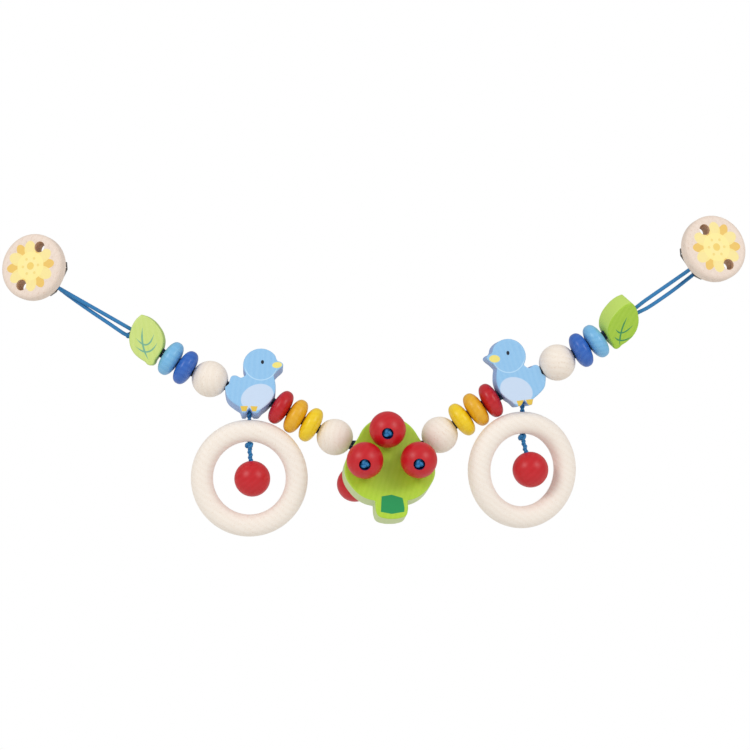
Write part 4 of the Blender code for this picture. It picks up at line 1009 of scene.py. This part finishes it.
def petals(turn_share, reach, radii, soft=0.03):
    """1 inside six like petals round the middle: the bearing is folded into one petal's wedge."""
    wedge = math.pi / 6
    folded = maths(tree, "PINGPONG", maths(tree, "ADD", bearing, wedge * turn_share), wedge)
    x = maths(tree, "MULTIPLY", maths(tree, "COSINE", folded), far)
    z = maths(tree, "MULTIPLY", maths(tree, "SINE", folded), far)
    spot_place = node(tree, "CombineXYZ", {0: x, 2: z}).outputs[0]
    return ellipse_print(tree, spot_place, (reach, 0.0), radii, soft=soft)


rosette = [
    (petals(1, 9.9, (4.4, 2.7)), "#E8BD4E"),
    (petals(0, 9.2, (4.9, 3.4)), "#F3E090"),
    (ellipse_print(tree, own, (0.0, 0.0), (7.9, 7.9), soft=0.02), "#F6E696"),
    (petals(1, 4.6, (0.8, 0.8), 0.15), "#EDD27A"),
    (ellipse_print(tree, own, (0.0, 0.0), (2.1, 2.1), soft=0.08), "#EBC862"),
]
for mask, ink in rosette:
    colour = overlaid(tree, colour, (maths(tree, "MULTIPLY", mask, front), 0.92, ink))
# Inside the vent holes the wood is painted a darker brown: painted shade in the holes.
high = maths(tree, "SUBTRACT", maths(tree, "ABSOLUTE", parts["Z"]), vent_spacing / 2)
vent_place = node(tree, "CombineXYZ", {0: parts["X"], 2: high}).outputs[0]
vent_wall_painted_shade = ellipse_print(tree, vent_place, (0.0, 0.0), (vent_size / 2 + 0.06,) * 2, soft=0.01)
surface(tree, shader, tinted(tree, vent_wall_painted_shade, colour, "#CDA886"), fibres, 0.2, 0.0001)

a = np.radians(np.linspace(90, 0, 10))
arc_middle = (disc_size / 2 - disc_rim, disc_thickness / 2 - disc_rim)
arc = arc_middle + disc_rim * np.stack([np.cos(a), np.sin(a)], axis=1)
front_half = np.vstack([[(0.0, disc_thickness / 2), (arc_middle[0] - 0.6, disc_thickness / 2)], arc])
disc_profile = np.vstack([front_half, front_half[::-1] * (1, -1)])
grips = {mount["name"]: mount for mount in frame["record"]["mounts"]}
clip_frames = {}
for side, sign in (("left", -1), ("right", 1)):
    pivot = joint[f"{side}_lever_pivot"]
    y_way, z_way = unit(grips[f"{side}_grip"]["axis"]), unit(pivot["axis"])
    clip_turn = np.stack([np.cross(y_way, z_way), y_way, z_way], axis=1)
    clip_middle = np.array(pivot["pos_m"]) - clip_turn @ (np.array([-pin_reach, pin_back, 0.0]) / 1000)
    clip_frames[side] = (clip_turn, clip_middle)
    facing = clip_turn @ turned_by((1, 0, 0), 90)
    disc = turned_shape(f"{side}_disc_turned", disc_profile, clip_middle, facing, sides=128)
    for up in (vent_spacing / 2, -vent_spacing / 2):
        vent_ends = (clip_middle + clip_turn @ (np.array([0.0, y, up]) / 1000) for y in (-6.0, 6.0))
        drill(disc, *vent_ends, vent_size)
    name = f"{side}_disc"
    finish_wood(disc, "clips", name, [disc_wood], 35, clip_turn, clip_middle, seed=100 + sign)

# Clip metal. Plates and levers are pressed from 1 mm steel, nickel plated; the pin and rivet are
# turned. Every pressed edge is slightly round, which gives it a thin bright line.
nickel, tree, shader = principled("nickel_plated_steel", Metallic=1.0, Roughness=0.24)
scuffs = noise(tree, stretched(tree, node(tree, "TexCoord").outputs["Object"], (900.0, 900.0, 180.0)))
tree.links.new(tinted(tree, scuffs, "#8E8C88", "#72706D"), shader.inputs["Base Color"])
tree.links.new(remap(tree, scuffs, 0.0, 1.0, 0.18, 0.34), shader.inputs["Roughness"])
nylon, tree, shader = principled("moulded_white_nylon", Roughness=0.45, IOR=1.53)
haze = noise(tree, node(tree, "TexCoord").outputs["Object"], 700.0, 2.0)
tree.links.new(tinted(tree, haze, "#F0F0EC", "#E2E2DC"), shader.inputs["Base Color"])


def eased_copy(name, cad_node, width, material, slot, body):
    """A copy of a CAD node with its sharp edges rounded by a width."""
    piece = merged_copy(name, cad_node)
    piece.data.materials.append(material)
    ease = piece.modifiers.new("eased_edges", "BEVEL")
    ease.width = width
    ease.segments = 2
    ease.limit_method = "ANGLE"
    ease.angle_limit = math.radians(40)
    smooth(piece, 35)
    finish_piece(piece, body, [cad_node])
    return piece


# The far edge of the plate's eye is drawn shorter than the CAD's, as less of it shows in the photo.
eye_trim_from, eye_trim = 0.015, 0.0012
pressed_edge, moulded_edge, turned_edge = 0.00022, 0.00020, 0.00015
steel = (nickel, "nickel_plated_steel")
for side, (clip_turn, clip_middle) in clip_frames.items():
    plate = eased_copy(f"{side}_plate_pressed", f"{side}_plate", pressed_edge, *steel, "clips")
    for vertex in plate.data.vertices:
        if clip_turn[:, 0] @ (np.array(vertex.co) - clip_middle) > eye_trim_from:
            vertex.co -= Vector(clip_turn[:, 0]) * eye_trim
    eased_copy(f"{side}_lever_pressed", f"{side}_lever", pressed_edge, *steel, f"{side}_lever")
    eased_copy(f"{side}_pad_moulded", f"{side}_pad", moulded_edge, nylon, "white_nylon", "clips")
    for turned_part in ("rivet", "pivot_pin"):
        eased_copy(f"{side}_{turned_part}_turned", f"{side}_{turned_part}", turned_edge, *steel, "clips")
